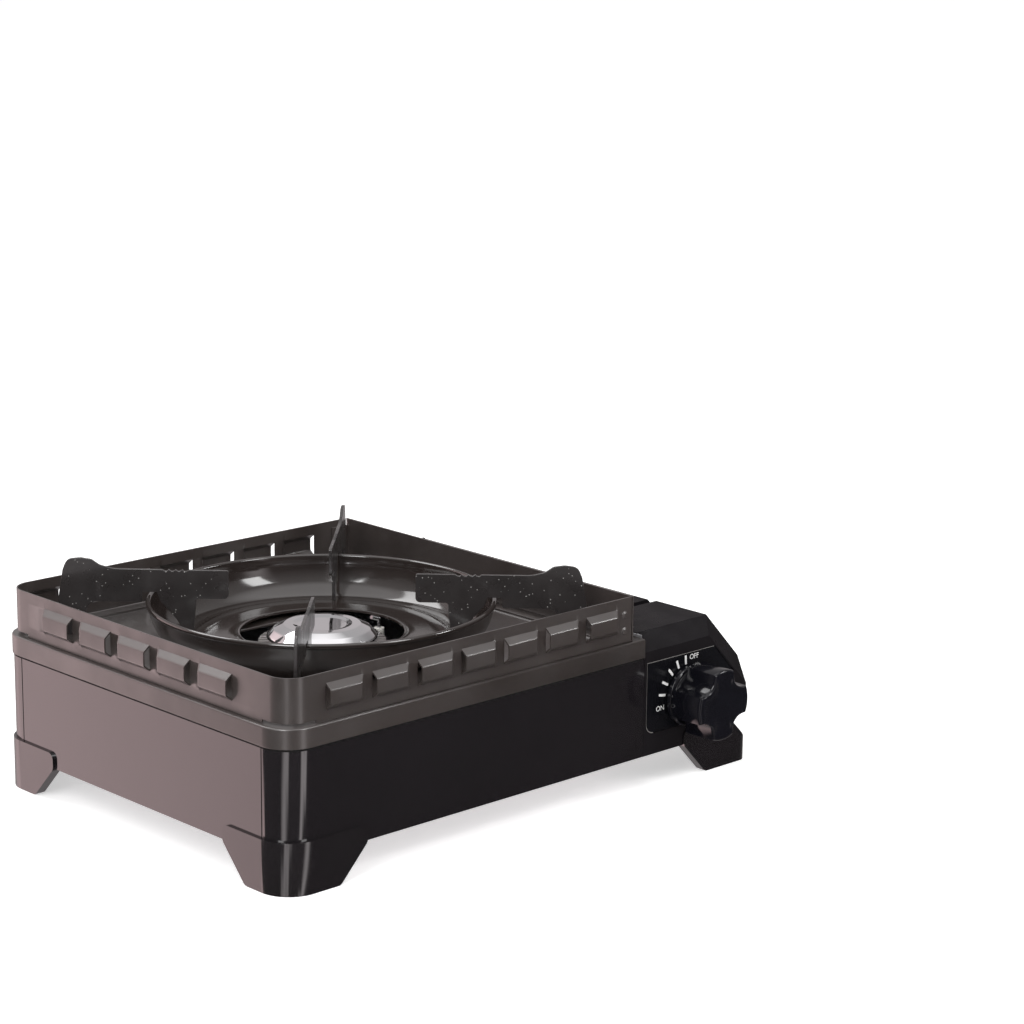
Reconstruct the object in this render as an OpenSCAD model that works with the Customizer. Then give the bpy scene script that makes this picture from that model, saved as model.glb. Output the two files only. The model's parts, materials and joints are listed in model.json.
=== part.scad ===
// Single-burner butane cassette stove, in millimetres.
// +X is to the right, +Y is to the back, +Z is up; the origin is under the middle of the overall box.

/* [Body] */
// Width of the steel body
body_w = 338; // [330:1:350]
// Depth of the steel body
body_d = 246; // [240:1:252]
// Height of the body's underside above the table
ground_gap = 19; // [16:1:22]
// Height of the top plate's outer ledge above the table
deck_z = 87; // [84:1:90]
// Radius of the body's left corners
corner_r = 17; // [12:1:17]
// Thickness of the steel sheet
sheet = 0.8; // [0.7:0.05:1]

/* [Top plate and wind guard] */
// Width of the burner side, from the body's left face to the canister bay
burner_side_w = 253; // [251:1:255]
// Depth of the top plate's outer skirt
skirt_h = 10.7; // [9:0.1:13]
// Depth that the top plate is pressed down inside its border
deck_dip = 1.5; // [1:0.1:2]
// Distance from the wind guard's walls to the pressed dip
deck_border = 9; // [7:1:11]
// Radius of the hole under the burner
deck_hole_r = 58; // [50:1:64]
// Width of the wind guard
guard_w = 243; // [241:1:245]
// Depth of the wind guard
guard_d = 241.3; // [239:0.1:243]
// Height of the wind guard above the ledge
guard_h = 25.4; // [22:0.1:28]
// Radius of the wind guard's left corners
guard_r = 13; // [11:1:14]
// Height of the slit under the wind guard's rounded corners
guard_slit = 2; // [1:0.1:3]
// Length of the slit past the ends of a rounded corner
slit_run = 6; // [3:0.5:9]

/* [Louvres] */
// Distance between louvres on the front and back walls
louvre_pitch = 30.2; // [28:0.1:31]
// Distance between louvres on the left wall
side_louvre_pitch = 34.2; // [32:0.1:36]
// Length of a louvre on the front and back walls
louvre_w = 24.5; // [22:0.5:26]
// Length of a louvre on the left wall
side_louvre_w = 27; // [24:0.5:29]
// Height of a louvre
louvre_h = 14; // [12:0.5:15]
// How far a louvre stands out of the wall
louvre_out = 4; // [3:0.1:5]

/* [Canister bay] */
// Height of the fixed front housing above the table
bay_top = 89; // [88.5:0.5:91]
// Width of the sloped shoulder
shoulder_w = 27.5; // [26:0.5:28]
// Height of the sloped shoulder
shoulder_h = 29; // [28:0.5:30]
// Size of the lower edge's slope
sill = 14; // [12:1:15]
// Depth of the fixed front housing
housing_d = 46; // [44:1:48]
// Height of the front housing's bevel
bevel_h = 10; // [8:1:11]
// Depth of the front housing's bevel
bevel_d = 7; // [5:1:8]
// Wall of the front housing
housing_wall = 2.5; // [2:0.1:3]
// Thickness of the lid
lid_t = 1; // [0.8:0.1:1.2]
// Gap round the lid
lid_gap = 0.5; // [0.3:0.1:0.8]

/* [Controls] */
// Height of the knob's axis above the table
knob_z = 48; // [46:0.5:50]
// Distance from the bay's left wall to the knob's axis
knob_in = 34.9; // [33:0.1:36]
// How far the knob's face stands out of the front panel
knob_out = 28; // [26:1:32]
// Radius over the knob's lobes
knob_r = 20.5; // [19.5:0.5:22]
// Radius at the knob's notches
knob_notch_r = 15; // [14:0.5:16]
// Radius of the knob's base disc
knob_base_r = 18.5; // [17:0.5:19.5]
// Radius of the valve spindle
spindle_r = 2.95; // [2.5:0.05:3.4]
// Running clearance round the spindle, the plunger and the hinge pin
run_gap = 0.06; // [0.03:0.01:0.09]
// Rise of the ignition cam in a turn of the knob, per degree
cam_rise = 0.042; // [0.03:0.002:0.048]
// Turn of the knob from off to ignition, in degrees
knob_turn = 120; // [100:1:130]
// Radius of the ignition cam at rest
cam_r = 9; // [8.5:0.1:9.5]
// Radius of the igniter's plunger
plunger_r = 3; // [2.6:0.1:3.4]

/* [Burner] */
// Distance from the body's left face to the burner's axis
burner_in_x = 125; // [123:1:127]
// Distance from the front panel to the burner's axis
burner_in_y = 121.4; // [120:0.2:123]
// Radius of the chrome burner cap
cap_r = 30.5; // [29:0.5:31.5]
// Height of the burner cap's top above the table
cap_z = 94.5; // [93:0.5:96]
// Radius of the ring of flame ports
head_r = 36; // [34.5:0.5:37.5]
// Number of flame ports
ports = 40; // [30:2:48]

/* [Drip pan and pot supports] */
// Outer radius of the drip pan's rim
pan_r = 95.6; // [93:0.2:97]
// Height of the drip pan's rim above the table
pan_z = 109.3; // [106:0.1:111]
// Radius of the drip pan's flat foot
pan_foot_r = 76; // [74:1:78]
// Radius of the round opening in the drip pan
pan_hole_r = 45; // [44:0.5:47]
// Thickness of the drip pan
pan_t = 0.9; // [0.8:0.1:1.1]
// Radius of the bead round the drip pan's rim
pan_bead = 1.5; // [1.2:0.1:1.8]
// Thickness of a pot support
support_t = 1.8; // [1.6:0.1:2.4]
// Height of the pot supports' flat tops above the table
support_z = 123; // [121:0.5:124]
// Height of the pot supports' outer humps above the table
hump_z = 129; // [127:0.5:130]
// Distance from the burner's axis to a pot support's inner end
support_in = 51; // [48:0.5:54]
// Distance from the burner's axis to a pot support's outer side
support_out = 143; // [140:0.5:145]
// Width of a pot support's outer leg
leg_w = 14; // [11:0.5:17]

/* [Feet] */
// Height of a foot
foot_h = 28; // [26:1:30]
// How far a foot stands out of the body
foot_out = 1.5; // [1:0.1:2]
// Length of a foot along the front
foot_front = 54; // [50:1:58]
// Length of a foot along the side
foot_side = 50; // [46:1:54]
// Slope at the foot's end
foot_slope = 18; // [16:1:20]
// Thickness of a foot below the body
foot_wall = 6; // [5:1:8]
// Radius of a foot's corners
foot_round = 4; // [2:0.5:5]

/* [Canister] */
// Radius of the canister's collar seat
seat_r = 16.25; // [15.5:0.05:17]
// Radius that is kept clear for the canister
canister_r = 33.5; // [33:0.1:33.8]
// Distance from the bay's left wall to the canister's axis
canister_in = 38.4; // [37.5:0.1:39]
// Height of the canister's axis above the body's underside
canister_up = 34.7; // [34.4:0.1:35]

/* [Hidden] */
$fn = 64;
fit = 0.05;

// Places of the body's faces
total_d = knob_out + body_d + foot_out;
x_left = -body_w / 2;
x_right = body_w / 2;
y_front = knob_out - total_d / 2;
y_back = y_front + body_d;
bay_x = x_left + burner_side_w;
wall_top = deck_z - sheet;
floor_z = ground_gap + sheet;

// Places of the working parts
burner_x = x_left + burner_in_x;
burner_y = y_front + burner_in_y;
knob_x = bay_x + sheet + knob_in;
canister_x = bay_x + canister_in;
canister_z = ground_gap + canister_up;
bracket_y = y_front + 22;
bracket_t = 1.2;
bracket_z = ground_gap + housing_wall;
regulator_y = bracket_y + bracket_t;
regulator_d = 13;
seat_y = regulator_y + regulator_d + 6;
seat_d = 5;
dip_z = deck_z - deck_dip;

// Wind guard
guard_x0 = x_left + 2.5;
guard_x1 = guard_x0 + guard_w;
guard_y0 = y_front + 1.4;
guard_y1 = guard_y0 + guard_d;
louvre_z = deck_z + 12.8;
louvre_start = 25.3;
side_louvre_start = 43;
louvre_slope = 5;

// Canister bay's outline
shoulder_a = atan2(shoulder_h, shoulder_w);
lid_y0 = y_front + housing_d + lid_gap;
lid_y1 = y_back - sheet - lid_gap;
lid_top = bay_top - lid_gap;
lid_low = ground_gap + sill + 3;
hinge_x = bay_x + 5.6;
hinge_z = lid_top - lid_t - 0.5;
hinge_r = 1.5;
knuckle_r = 2.4;
knuckle_l = 20;
lug_l = 6;

// A rounded outline whose two left corners are round and whose right ones are sharp
module left_round(w, d, r) {
    translate([r, 0]) square([w - r, d]);
    translate([0, r]) square([w, d - 2 * r]);
    translate([r, r]) circle(r);
    translate([r, d - r]) circle(r);
}

// The same outline as a wall of thickness t
module left_round_wall(w, d, r, t) {
    difference() {
        left_round(w, d, r);
        translate([t, t]) left_round(w - 2 * t + 1, d - 2 * t, r - t);
    }
}

// A straight round bar from p to q
module bar(p, q, r) {
    v = q - p;
    translate(p)
        rotate([0, acos(v[2] / norm(v)), atan2(v[1], v[0])])
            cylinder(r = r, h = norm(v));
}

joint_swell = 1.05;

// A pipe along straight runs with round joints
module pipe(points, r) {
    for (i = [0 : len(points) - 2]) bar(points[i], points[i + 1], r);
    for (i = [1 : 1 : len(points) - 2]) translate(points[i]) sphere(r * joint_swell);
}

// Extrudes an outline drawn in X and Z from y0 back to y1
module along_y(y0, y1) {
    translate([0, y1, 0]) rotate([90, 0, 0]) linear_extrude(y1 - y0) children();
}

// A bar along Y
module y_cylinder(x, z, r, y0, y1) {
    translate([x, y1, z]) rotate([90, 0, 0]) cylinder(r = r, h = y1 - y0);
}

// The body's outline on the table, grown by out
module body_outline(out = 0) {
    translate([x_left - out, y_front - out]) left_round(body_w + 2 * out, body_d + 2 * out, corner_r + out);
}

// The bay's outline in X and Z, taken in by i on every side
function bay_points(i) = [
    [bay_x + sheet + i, ground_gap + i],
    [bay_x + sheet + i, bay_top - i],
    [x_right - shoulder_w - i * tan(shoulder_a / 2), bay_top - i],
    [x_right - i, bay_top - shoulder_h - i * tan((90 - shoulder_a) / 2)],
    [x_right - i, ground_gap + sill + i * tan(22.5)],
    [x_right - sill - i * tan(22.5), ground_gap + i]
];

// A sheet that follows the bay's top and right side, between two depths under its outline
module bay_shell(i0, i1, x0, z0) {
    intersection() {
        difference() {
            polygon(bay_points(i0));
            translate([-30, -30]) square([30 + x0, 200]);
            polygon(bay_points(i1));
        }
        translate([x0, z0]) square([200, 200]);
    }
}

// ---------------------------------------------------------------- body

module bottom_plate() {
    color([0.55, 0.56, 0.58]) difference() {
        union() {
            translate([0, 0, ground_gap]) linear_extrude(sheet) intersection() {
                translate([x_left + sheet + fit, y_front + sheet + fit])
                    left_round(body_w - 2 * sheet - 2 * fit, body_d - 2 * sheet - 2 * fit, corner_r - sheet);
                translate([x_left, y_front]) square([body_w - sill - 1, body_d]);
            }
            translate([0, 0, ground_gap]) linear_extrude(8) intersection() {
                translate([x_left + sheet + fit, y_front + sheet + fit])
                    left_round_wall(body_w, body_d - 2 * sheet - 2 * fit, corner_r - sheet, sheet);
                translate([x_left, y_front]) square([burner_side_w - 2, body_d]);
            }
        }
        translate([bay_x + sheet - fit, y_front, ground_gap - 1])
            cube([body_w, housing_d + fit, 10]);
        for (i = [-2 : 2]) {
            translate([burner_x + i * 22 - 3, burner_y - 30, ground_gap - 1]) cube([6, 60, sheet + 2]);
        }
        for (i = [0 : 5]) {
            translate([bay_x + 26, lid_y0 + 12 + i * 30, ground_gap - 1]) cube([24, 6, sheet + 2]);
        }
    }
}

front_wrap = 18;
back_wrap = 19;

module burner_wall() {
    translate([0, 0, ground_gap]) linear_extrude(wall_top - ground_gap) intersection() {
        translate([x_left, y_front]) left_round_wall(body_w, body_d, corner_r, sheet);
        children();
    }
}

module front_panel() {
    color([0.10, 0.09, 0.10]) burner_wall()
        translate([x_left, y_front]) square([burner_side_w + sheet - fit, front_wrap]);
}

module left_panel() {
    color([0.35, 0.31, 0.32]) burner_wall()
        translate([x_left, y_front + front_wrap + lid_gap])
            square([corner_r, body_d - front_wrap - back_wrap - 2 * lid_gap]);
}

module back_panel() {
    color([0.10, 0.09, 0.10]) union() {
        burner_wall() translate([x_left, y_back - back_wrap]) square([burner_side_w + sheet, back_wrap]);
        along_y(y_back - sheet, y_back) polygon(bay_points(0));
    }
}

module right_panel() {
    color([0.10, 0.09, 0.10]) along_y(y_front + housing_d + fit, y_back - sheet - fit) difference() {
        polygon(bay_points(0));
        polygon(bay_points(sheet));
        translate([bay_x - 1, ground_gap + sheet + 0.3]) square([body_w / 4 - sill, bay_top]);
        translate([bay_x - 1, ground_gap - 1]) square([body_w - burner_side_w - sill, 3]);
        translate([bay_x - 1, lid_low - lid_gap]) square([body_w, bay_top]);
    }
}

module partition() {
    color([0.6, 0.6, 0.62]) difference() {
        union() {
            translate([bay_x, y_front + housing_wall + fit, floor_z])
                cube([sheet, body_d - housing_wall - sheet - 2 * fit, lid_top - floor_z]);
            translate([bay_x, lid_y0, lid_top - sheet]) cube([2.1, lid_y1 - lid_y0, sheet]);
            translate([bay_x - 8, y_front + housing_d, floor_z]) cube([8, body_d - housing_d - 6, sheet]);
        }
        translate([bay_x - 1, y_front + 16, 33]) cube([3, 22, 41]);
        translate([bay_x - 1, burner_y - 14, 27]) cube([3, 28, 6]);
    }
}

// ---------------------------------------------------------------- feet

foot_low = foot_front - foot_slope;
side_low = foot_side - foot_slope;
step_z = 19;
foot_web = 2;

// Rounds its child's outer corners
module softened(r) {
    offset(r = r, $fn = 32) offset(delta = -r) children();
}

// A foot's outline on the front, measured from its outer corner
module foot_front_outline(lean) {
    softened(foot_round) polygon([
        [0, 0], [0, foot_h - lean], [lean, foot_h], [foot_front, foot_h],
        [foot_front, step_z], [foot_low, 0]
    ]);
}

// A foot's outline on the side, measured from its outer corner
module foot_side_outline() {
    softened(foot_round)
        polygon([[0, 0], [0, foot_h], [foot_side, foot_h], [foot_side, step_z], [side_low, 0]]);
}

// The foot at the front left corner, with its outer corner at the origin
module left_foot() {
    big = foot_front + 20;
    intersection() {
        union() {
            linear_extrude(foot_h) difference() {
                left_round(big, big, corner_r + foot_out);
                translate([foot_out, foot_out]) left_round(big, big, corner_r);
            }
            linear_extrude(ground_gap) difference() {
                left_round(big, big, corner_r + foot_out);
                translate([foot_wall, foot_wall]) left_round(big, big, corner_r + foot_out - foot_wall);
            }
            translate([foot_out, foot_out, ground_gap - foot_web]) linear_extrude(foot_web) intersection() {
                left_round(big, big, corner_r);
                square(side_low);
            }
        }
        union() {
            translate([0, foot_wall + corner_r, 0]) rotate([90, 0, 0])
                linear_extrude(foot_wall + corner_r) foot_front_outline(0);
            rotate([90, 0, 90]) linear_extrude(foot_wall + corner_r) foot_side_outline();
            translate([0, 0, ground_gap / 2]) cube([side_low, side_low, foot_h - ground_gap / 2]);
        }
    }
}

// A right foot's cross-section under the sloped lower edge, measured from its outer face
module right_foot_section() {
    upright = 11;
    seat = sill + ground_gap + foot_out - 0.1;
    tip = (seat - upright) / 2;
    heel = seat - ground_gap;
    polygon([
        [0, 0], [0, upright], [tip, seat - tip], [heel, ground_gap], [heel + 9, ground_gap],
        [heel + 9, ground_gap - foot_web], [foot_wall + 2, 0]
    ]);
}

// The foot at the front right corner, mirrored to stand at a left corner
module right_foot() {
    r = 7;
    big = foot_front + 20;
    union() {
        intersection() {
            union() {
                linear_extrude(foot_h) difference() {
                    left_round(big, big, r);
                    translate([-1, foot_out]) square([big + 2, big]);
                }
                linear_extrude(ground_gap) difference() {
                    left_round(big, big, r);
                    translate([-1, foot_wall]) square([big + 2, big]);
                }
            }
            translate([0, foot_wall, 0]) rotate([90, 0, 0]) linear_extrude(foot_wall)
                foot_front_outline(17);
        }
        intersection() {
            translate([0, foot_side, 0]) rotate([90, 0, 0]) linear_extrude(foot_side - foot_out)
                right_foot_section();
            linear_extrude(foot_h) left_round(big, big, r);
            rotate([90, 0, 90]) linear_extrude(big) foot_side_outline();
        }
    }
}

module foot_colour() { color([0.12, 0.11, 0.12]) children(); }

module foot_front_left() {
    foot_colour() translate([x_left - foot_out, y_front - foot_out, 0]) left_foot();
}

module foot_back_left() {
    foot_colour() translate([x_left - foot_out, y_back + foot_out, 0]) mirror([0, 1, 0]) left_foot();
}

module foot_front_right() {
    foot_colour() translate([x_right + foot_out, y_front - foot_out, 0]) mirror([1, 0, 0]) right_foot();
}

module foot_back_right() {
    foot_colour() translate([x_right + foot_out, y_back + foot_out, 0]) mirror([0, 1, 0]) mirror([1, 0, 0])
        right_foot();
}

// A round screw head with a cross slot
module cross_screw(r, h) {
    difference() {
        cylinder(r = r, h = h);
        for (a = [0, 90]) rotate(a) translate([-r * 0.6, -0.4, h * 0.55]) cube([r * 1.2, 0.8, h]);
    }
}

module bottom_screws() {
    web = ground_gap - foot_web;
    color("silver") for (y = [0, 1]) for (p = [
        [x_left + 24, 20, web], [burner_x, 8, ground_gap], [bay_x - 20, 8, ground_gap],
        [x_right - sill - 13, 24, ground_gap]
    ]) translate([p[0], y == 0 ? y_front + p[1] : y_back - p[1], p[2]]) mirror([0, 0, 1]) cross_screw(3, 1.6);
}

// ---------------------------------------------------------------- top plate and wind guard

module dip_outline(i) {
    translate([guard_x0 + deck_border + i, guard_y0 + deck_border + i])
        left_round(guard_w - 2 * deck_border - 2 * i, guard_d - 2 * deck_border - 2 * i, 14 - i);
}

module top_plate() {
    color([0.20, 0.17, 0.16]) difference() {
        union() {
            translate([x_left - sheet, y_front - sheet, deck_z - skirt_h]) linear_extrude(skirt_h)
                difference() {
                    left_round(burner_side_w + sheet - fit, body_d + 2 * sheet, corner_r + sheet);
                    translate([sheet, sheet]) left_round(body_w, body_d, corner_r);
                }
            translate([0, 0, deck_z - sheet]) linear_extrude(sheet) difference() {
                translate([x_left - sheet, y_front - sheet])
                    left_round(burner_side_w + sheet - fit, body_d + 2 * sheet, corner_r + sheet);
                dip_outline(0);
            }
            translate([0, 0, dip_z - sheet]) linear_extrude(sheet + deck_dip) difference() {
                dip_outline(-sheet);
                dip_outline(0);
            }
            translate([0, 0, dip_z - sheet]) linear_extrude(sheet) dip_outline(0);
        }
        translate([burner_x, burner_y, dip_z - 5]) cylinder(r = deck_hole_r, h = 10);
    }
}

module top_plate_screws() {
    inset = deck_border + 8;
    color("silver") for (x = [guard_x0 + inset, guard_x1 - inset])
        for (y = [guard_y0 + inset + 26, guard_y1 - inset - 26])
            translate([x, y, dip_z]) cross_screw(3.2, 1.8);
}

// A louvre along +X, open at x = 0, that stands out of a wall's face at y = 0 towards -Y
module louvre_body(w, in) {
    h = louvre_h / 2;
    p = louvre_out;
    intersection() {
        linear_extrude(louvre_h, center = true) polygon([
            [-in, 2], [-in, -p + in], [w - louvre_slope, -p + in], [w - in, 0], [w - in, 2]
        ]);
        rotate([90, 0, 90]) translate([0, 0, -1]) linear_extrude(w + 2) polygon([
            [2, -h + in], [0, -h + in], [-p + in, -h + p], [-p + in, h - p], [0, h - in], [2, h - in]
        ]);
    }
}

module louvre(w) {
    difference() {
        intersection() {
            louvre_body(w, 0);
            translate([0, -louvre_out, -louvre_h]) cube([w, louvre_out + sheet / 2, 2 * louvre_h]);
        }
        louvre_body(w, sheet);
    }
}

// Puts its child at every louvre of the front and back walls
module at_long_louvres() {
    for (i = [0 : 6]) {
        translate([guard_x0 + louvre_start + i * louvre_pitch, guard_y0, louvre_z]) children();
        translate([guard_x1 - louvre_start - i * louvre_pitch, guard_y1, louvre_z]) rotate(180) children();
    }
}

// Puts its child at every louvre of the left wall
module at_side_louvres() {
    for (i = [0 : 4])
        translate([guard_x0, guard_y0 + side_louvre_start + i * side_louvre_pitch, louvre_z])
            rotate(90) mirror([0, 1, 0]) children();
}

module wind_guard() {
    color([0.30, 0.26, 0.24]) difference() {
        union() {
            translate([guard_x0, guard_y0, deck_z]) linear_extrude(guard_h)
                intersection() {
                    left_round_wall(guard_w - sheet - fit, guard_d, guard_r, sheet);
                    square([guard_w - sheet - fit, guard_d]);
                }
            at_long_louvres() louvre(louvre_w);
            at_side_louvres() louvre(side_louvre_w);
        }
        at_long_louvres() translate([0.01, 0, 0]) louvre_body(louvre_w, sheet);
        at_side_louvres() translate([0.01, 0, 0]) louvre_body(side_louvre_w, sheet);
        for (y = [guard_y0 - 1, guard_y1 - guard_r - slit_run])
            translate([guard_x0 - 1, y, deck_z - 1])
                cube([guard_r + slit_run + 1, guard_r + slit_run + 1, guard_slit + 1]);
    }
}

module guard_right_wall() {
    color([0.30, 0.26, 0.24]) union() {
        translate([guard_x1 - sheet, guard_y0, deck_z]) cube([sheet, guard_d, guard_h]);
        for (y = [guard_y0 + sheet + fit, guard_y1 - 2 * sheet - fit])
            translate([guard_x1 - 13, y, deck_z]) cube([13, sheet, guard_h - 4]);
    }
}

module guard_rivets() {
    color("silver") for (z = [deck_z + 7, deck_z + 16]) {
        translate([guard_x1 - 7, guard_y0, z]) rotate([90, 0, 0]) cylinder(r1 = 2.2, r2 = 1.2, h = 0.9);
        translate([guard_x1 - 7, guard_y1, z]) rotate([-90, 0, 0]) cylinder(r1 = 2.2, r2 = 1.2, h = 0.9);
    }
}

// ---------------------------------------------------------------- canister bay

// The wedge that bevels an edge along +X at the origin
module edge_bevel(l) {
    rotate([90, 0, 90]) linear_extrude(l)
        polygon([[-1, 1], [-1, -bevel_h * (1 + 1 / bevel_d)], [bevel_d * (1 + 1 / bevel_h), 1]]);
}

// The shoulder's bevel is this much deeper than the top's, so that the two don't meet in one point
bevel_step = 0.3;
plate_t = 1;
plate_recess = 1.5;

// The control plate's outline, taken in by i
module plate_outline(i) {
    x0 = bay_x + sheet + 2 + i;
    z0 = 31 + i;
    z1 = 72.5 - i;
    r = 6;
    difference() {
        union() {
            translate([x0, z0 + r]) square([90, z1 - z0 - r]);
            translate([x0 + r, z0]) square([90, r + 1]);
            translate([x0 + r, z0 + r]) circle(r);
        }
        translate([x_right - shoulder_w - i * tan(shoulder_a / 2), z1]) rotate(-shoulder_a)
            square([80, 60]);
        translate([x_right - 10.5 - i, z0 - 10]) square([60, 80]);
    }
}

module front_housing() {
    color([0.07, 0.065, 0.07]) difference() {
        along_y(y_front, y_front + housing_d) polygon(bay_points(0));
        translate([bay_x - 10, y_front, bay_top]) edge_bevel(body_w - burner_side_w + 20);
        translate([x_right - shoulder_w, y_front, bay_top]) rotate([0, shoulder_a, 0])
            translate([-20, bevel_step, 0]) edge_bevel(100);
        along_y(y_front + bevel_d + 2, y_front + housing_d + 1) polygon(bay_points(housing_wall));
        along_y(y_front + housing_wall, y_front + bevel_d + 3) polygon(bay_points(bevel_h + 1.2));
        along_y(y_front - 1, y_front + plate_recess) plate_outline(0);
        y_cylinder(knob_x, knob_z, 8, y_front - 1, y_front + housing_wall + 1);
        translate([bay_x - 1, y_front + bevel_d + 2, ground_gap - 1])
            cube([5, housing_d, bay_top - ground_gap - 4]);
        translate([bay_x + 8, y_front + 30, ground_gap - 1]) cube([52, 20, housing_wall + 2]);
    }
}

module control_plate() {
    color([0.04, 0.04, 0.045]) difference() {
        along_y(y_front + plate_recess - plate_t, y_front + plate_recess) plate_outline(0.15);
        y_cylinder(knob_x, knob_z, 7, y_front - 1, y_front + 3);
    }
}

module regulator_bracket() {
    color([0.7, 0.7, 0.72]) difference() {
        union() {
            translate([bay_x + 4, bracket_y, bracket_z]) cube([62, bracket_t, 54]);
            translate([bay_x + 4, bracket_y - 8, bracket_z]) cube([62, 8.5, bracket_t]);
        }
        y_cylinder(knob_x, knob_z, 6, bracket_y - 1, bracket_y + 3);
    }
}

module regulator() {
    y1 = regulator_y + regulator_d;
    color([0.66, 0.67, 0.7]) difference() {
        union() {
            y_cylinder(knob_x, knob_z, 20, regulator_y, y1);
            y_cylinder(knob_x, knob_z, 12, y1 - 1, y1 + 4);
            y_cylinder(canister_x, canister_z, 20, y1, seat_y);
            for (a = [40, 140, 220, 320])
                y_cylinder(knob_x + 21 * cos(a), knob_z + 21 * sin(a), 4, regulator_y, regulator_y + 5);
            bar([knob_x - 19, regulator_y + 6, knob_z + 8], [knob_x - 25, regulator_y + 6, knob_z + 8], 4.5);
        }
        y_cylinder(knob_x, knob_z, spindle_r + run_gap, regulator_y - 1, regulator_y + 12);
        y_cylinder(canister_x, canister_z, 1.2, seat_y - 2, seat_y + 4);
    }
}

module safety_valve() {
    x0 = knob_x + 20.4;
    color([0.75, 0.7, 0.5]) union() {
        bar([x0, regulator_y + 6, knob_z], [x0 + 9, regulator_y + 6, knob_z], 6);
        bar([x0 + 8.5, regulator_y + 6, knob_z], [x0 + 14, regulator_y + 6, knob_z], 3);
    }
}

magnet_r = 2.5;
magnet_at = 20.6;

module at_magnets() {
    for (a = [0, 180])
        translate([canister_x + magnet_at * cos(a), seat_y + seat_d, canister_z]) rotate([90, 0, 0]) children();
}

module canister_seat() {
    color([0.62, 0.63, 0.66]) difference() {
        y_cylinder(canister_x, canister_z, 24.5, seat_y, seat_y + seat_d);
        y_cylinder(canister_x, canister_z, seat_r, seat_y - 1, seat_y + seat_d + 1);
        at_magnets() translate([0, 0, -1]) cylinder(r = magnet_r + fit, h = 4);
    }
}

module seat_magnets() {
    color([0.3, 0.3, 0.32]) at_magnets() cylinder(r = magnet_r, h = 3);
}

module canister_guide() {
    color("silver") translate([canister_x - 3, seat_y + seat_d, canister_z + seat_r + 1]) union() {
        cube([6, 1, 7]);
        translate([1.5, 0.5, 0]) cube([3, 6, 3]);
    }
}

module canister_cradle() {
    r = canister_r + 0.4;
    color([0.7, 0.7, 0.72]) for (s = [0, 1]) translate([canister_x, 0, 0]) mirror([s, 0, 0])
        along_y(seat_y + 12, y_back - 14) union() {
            intersection() {
                translate([0, canister_z]) difference() {
                    circle(r + sheet);
                    circle(r);
                }
                polygon([[0, canister_z], [60, canister_z - 22], [60, 0], [14, 0]]);
            }
            translate([14.5, floor_z]) square([8, 3]);
        }
}

// ---------------------------------------------------------------- gas path and burner

tube_a = atan2(-82.6, 106);
tube_z = 66;
tube_r = 9;
bowl_z0 = 60;
bowl_z1 = 78;
head_h = 9;

heat_z = 30;

// A place at distance d from the burner's axis, towards the gas valve
function toward(d, z) = [burner_x + d * cos(tube_a), burner_y + d * sin(tube_a), z];

module gas_pipe() {
    color([0.72, 0.48, 0.25]) pipe([
        toward(133, tube_z), toward(150, tube_z),
        [knob_x - 30, regulator_y + 6, knob_z + 8], [knob_x - 25.05, regulator_y + 6, knob_z + 8]
    ], 2.6);
}

module injector() {
    color([0.78, 0.62, 0.3]) union() {
        bar(toward(124, tube_z), toward(133, tube_z), 5);
        bar(toward(119, tube_z), toward(124.5, tube_z), 2.5);
        difference() {
            bar(toward(126, tube_z), toward(128, tube_z), 12);
            bar(toward(120, tube_z), toward(130, tube_z), 4.5);
        }
    }
}

module mixing_tube() {
    color([0.75, 0.76, 0.78]) difference() {
        union() {
            bar(toward(33, tube_z), toward(112, tube_z), tube_r);
            bar(toward(112, tube_z), toward(126, tube_z), tube_r + 3);
        }
        bar(toward(30, tube_z), toward(113, tube_z), tube_r - 1);
        bar(toward(113, tube_z), toward(127, tube_z), tube_r + 2);
        bar(toward(103, tube_z - 20), toward(103, tube_z + 20), 4);
    }
}

module burner_bowl() {
    color([0.7, 0.71, 0.73]) difference() {
        union() {
            translate([burner_x, burner_y, bowl_z0]) cylinder(r = head_r - 2, h = bowl_z1 - bowl_z0);
            bar(toward(20, tube_z), toward(44, tube_z), tube_r + 2.5);
            translate([burner_x + head_r - 4, burner_y - 5, 72]) cube([14, 10, 2]);
        }
        translate([burner_x, burner_y, bowl_z0 + 2]) cylinder(r = head_r - 4.5, h = 30);
        bar(toward(20, tube_z), toward(46, tube_z), tube_r + fit);
        translate([burner_x + head_r + 5, burner_y, 60]) cylinder(r = 3 + fit, h = 30);
    }
}

module burner_head() {
    color([0.35, 0.35, 0.36]) translate([burner_x, burner_y, bowl_z1]) difference() {
        union() {
            cylinder(r = head_r - 1, h = head_h - 2);
            cylinder(r = head_r, h = 4);
            translate([0, 0, -4]) cylinder(r = head_r - 4.6, h = 5);
        }
        translate([0, 0, -5]) cylinder(r = head_r - 8, h = head_h + 8);
        for (i = [0 : ports - 1]) rotate((i + 0.5) * 360 / ports)
            translate([head_r - 9, -0.7, head_h - 4.5]) cube([12, 1.4, 6]);
    }
}

module burner_cap() {
    z0 = bowl_z1 + head_h - 2;
    color([0.85, 0.85, 0.88]) translate([burner_x, burner_y, 0]) rotate_extrude() polygon([
        [0, cap_z - 0.8], [15, cap_z - 0.8], [16, cap_z], [18, cap_z], [24, cap_z - 1.6], [28, cap_z - 4],
        [cap_r, cap_z - 7], [cap_r, z0], [cap_r - 1.2, z0], [cap_r - 1.2, cap_z - 7.4],
        [27, cap_z - 5], [23, cap_z - 2.8], [17.4, cap_z - 1.3], [15, cap_z - 1.8], [0, cap_z - 1.8]
    ]);
}

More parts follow.
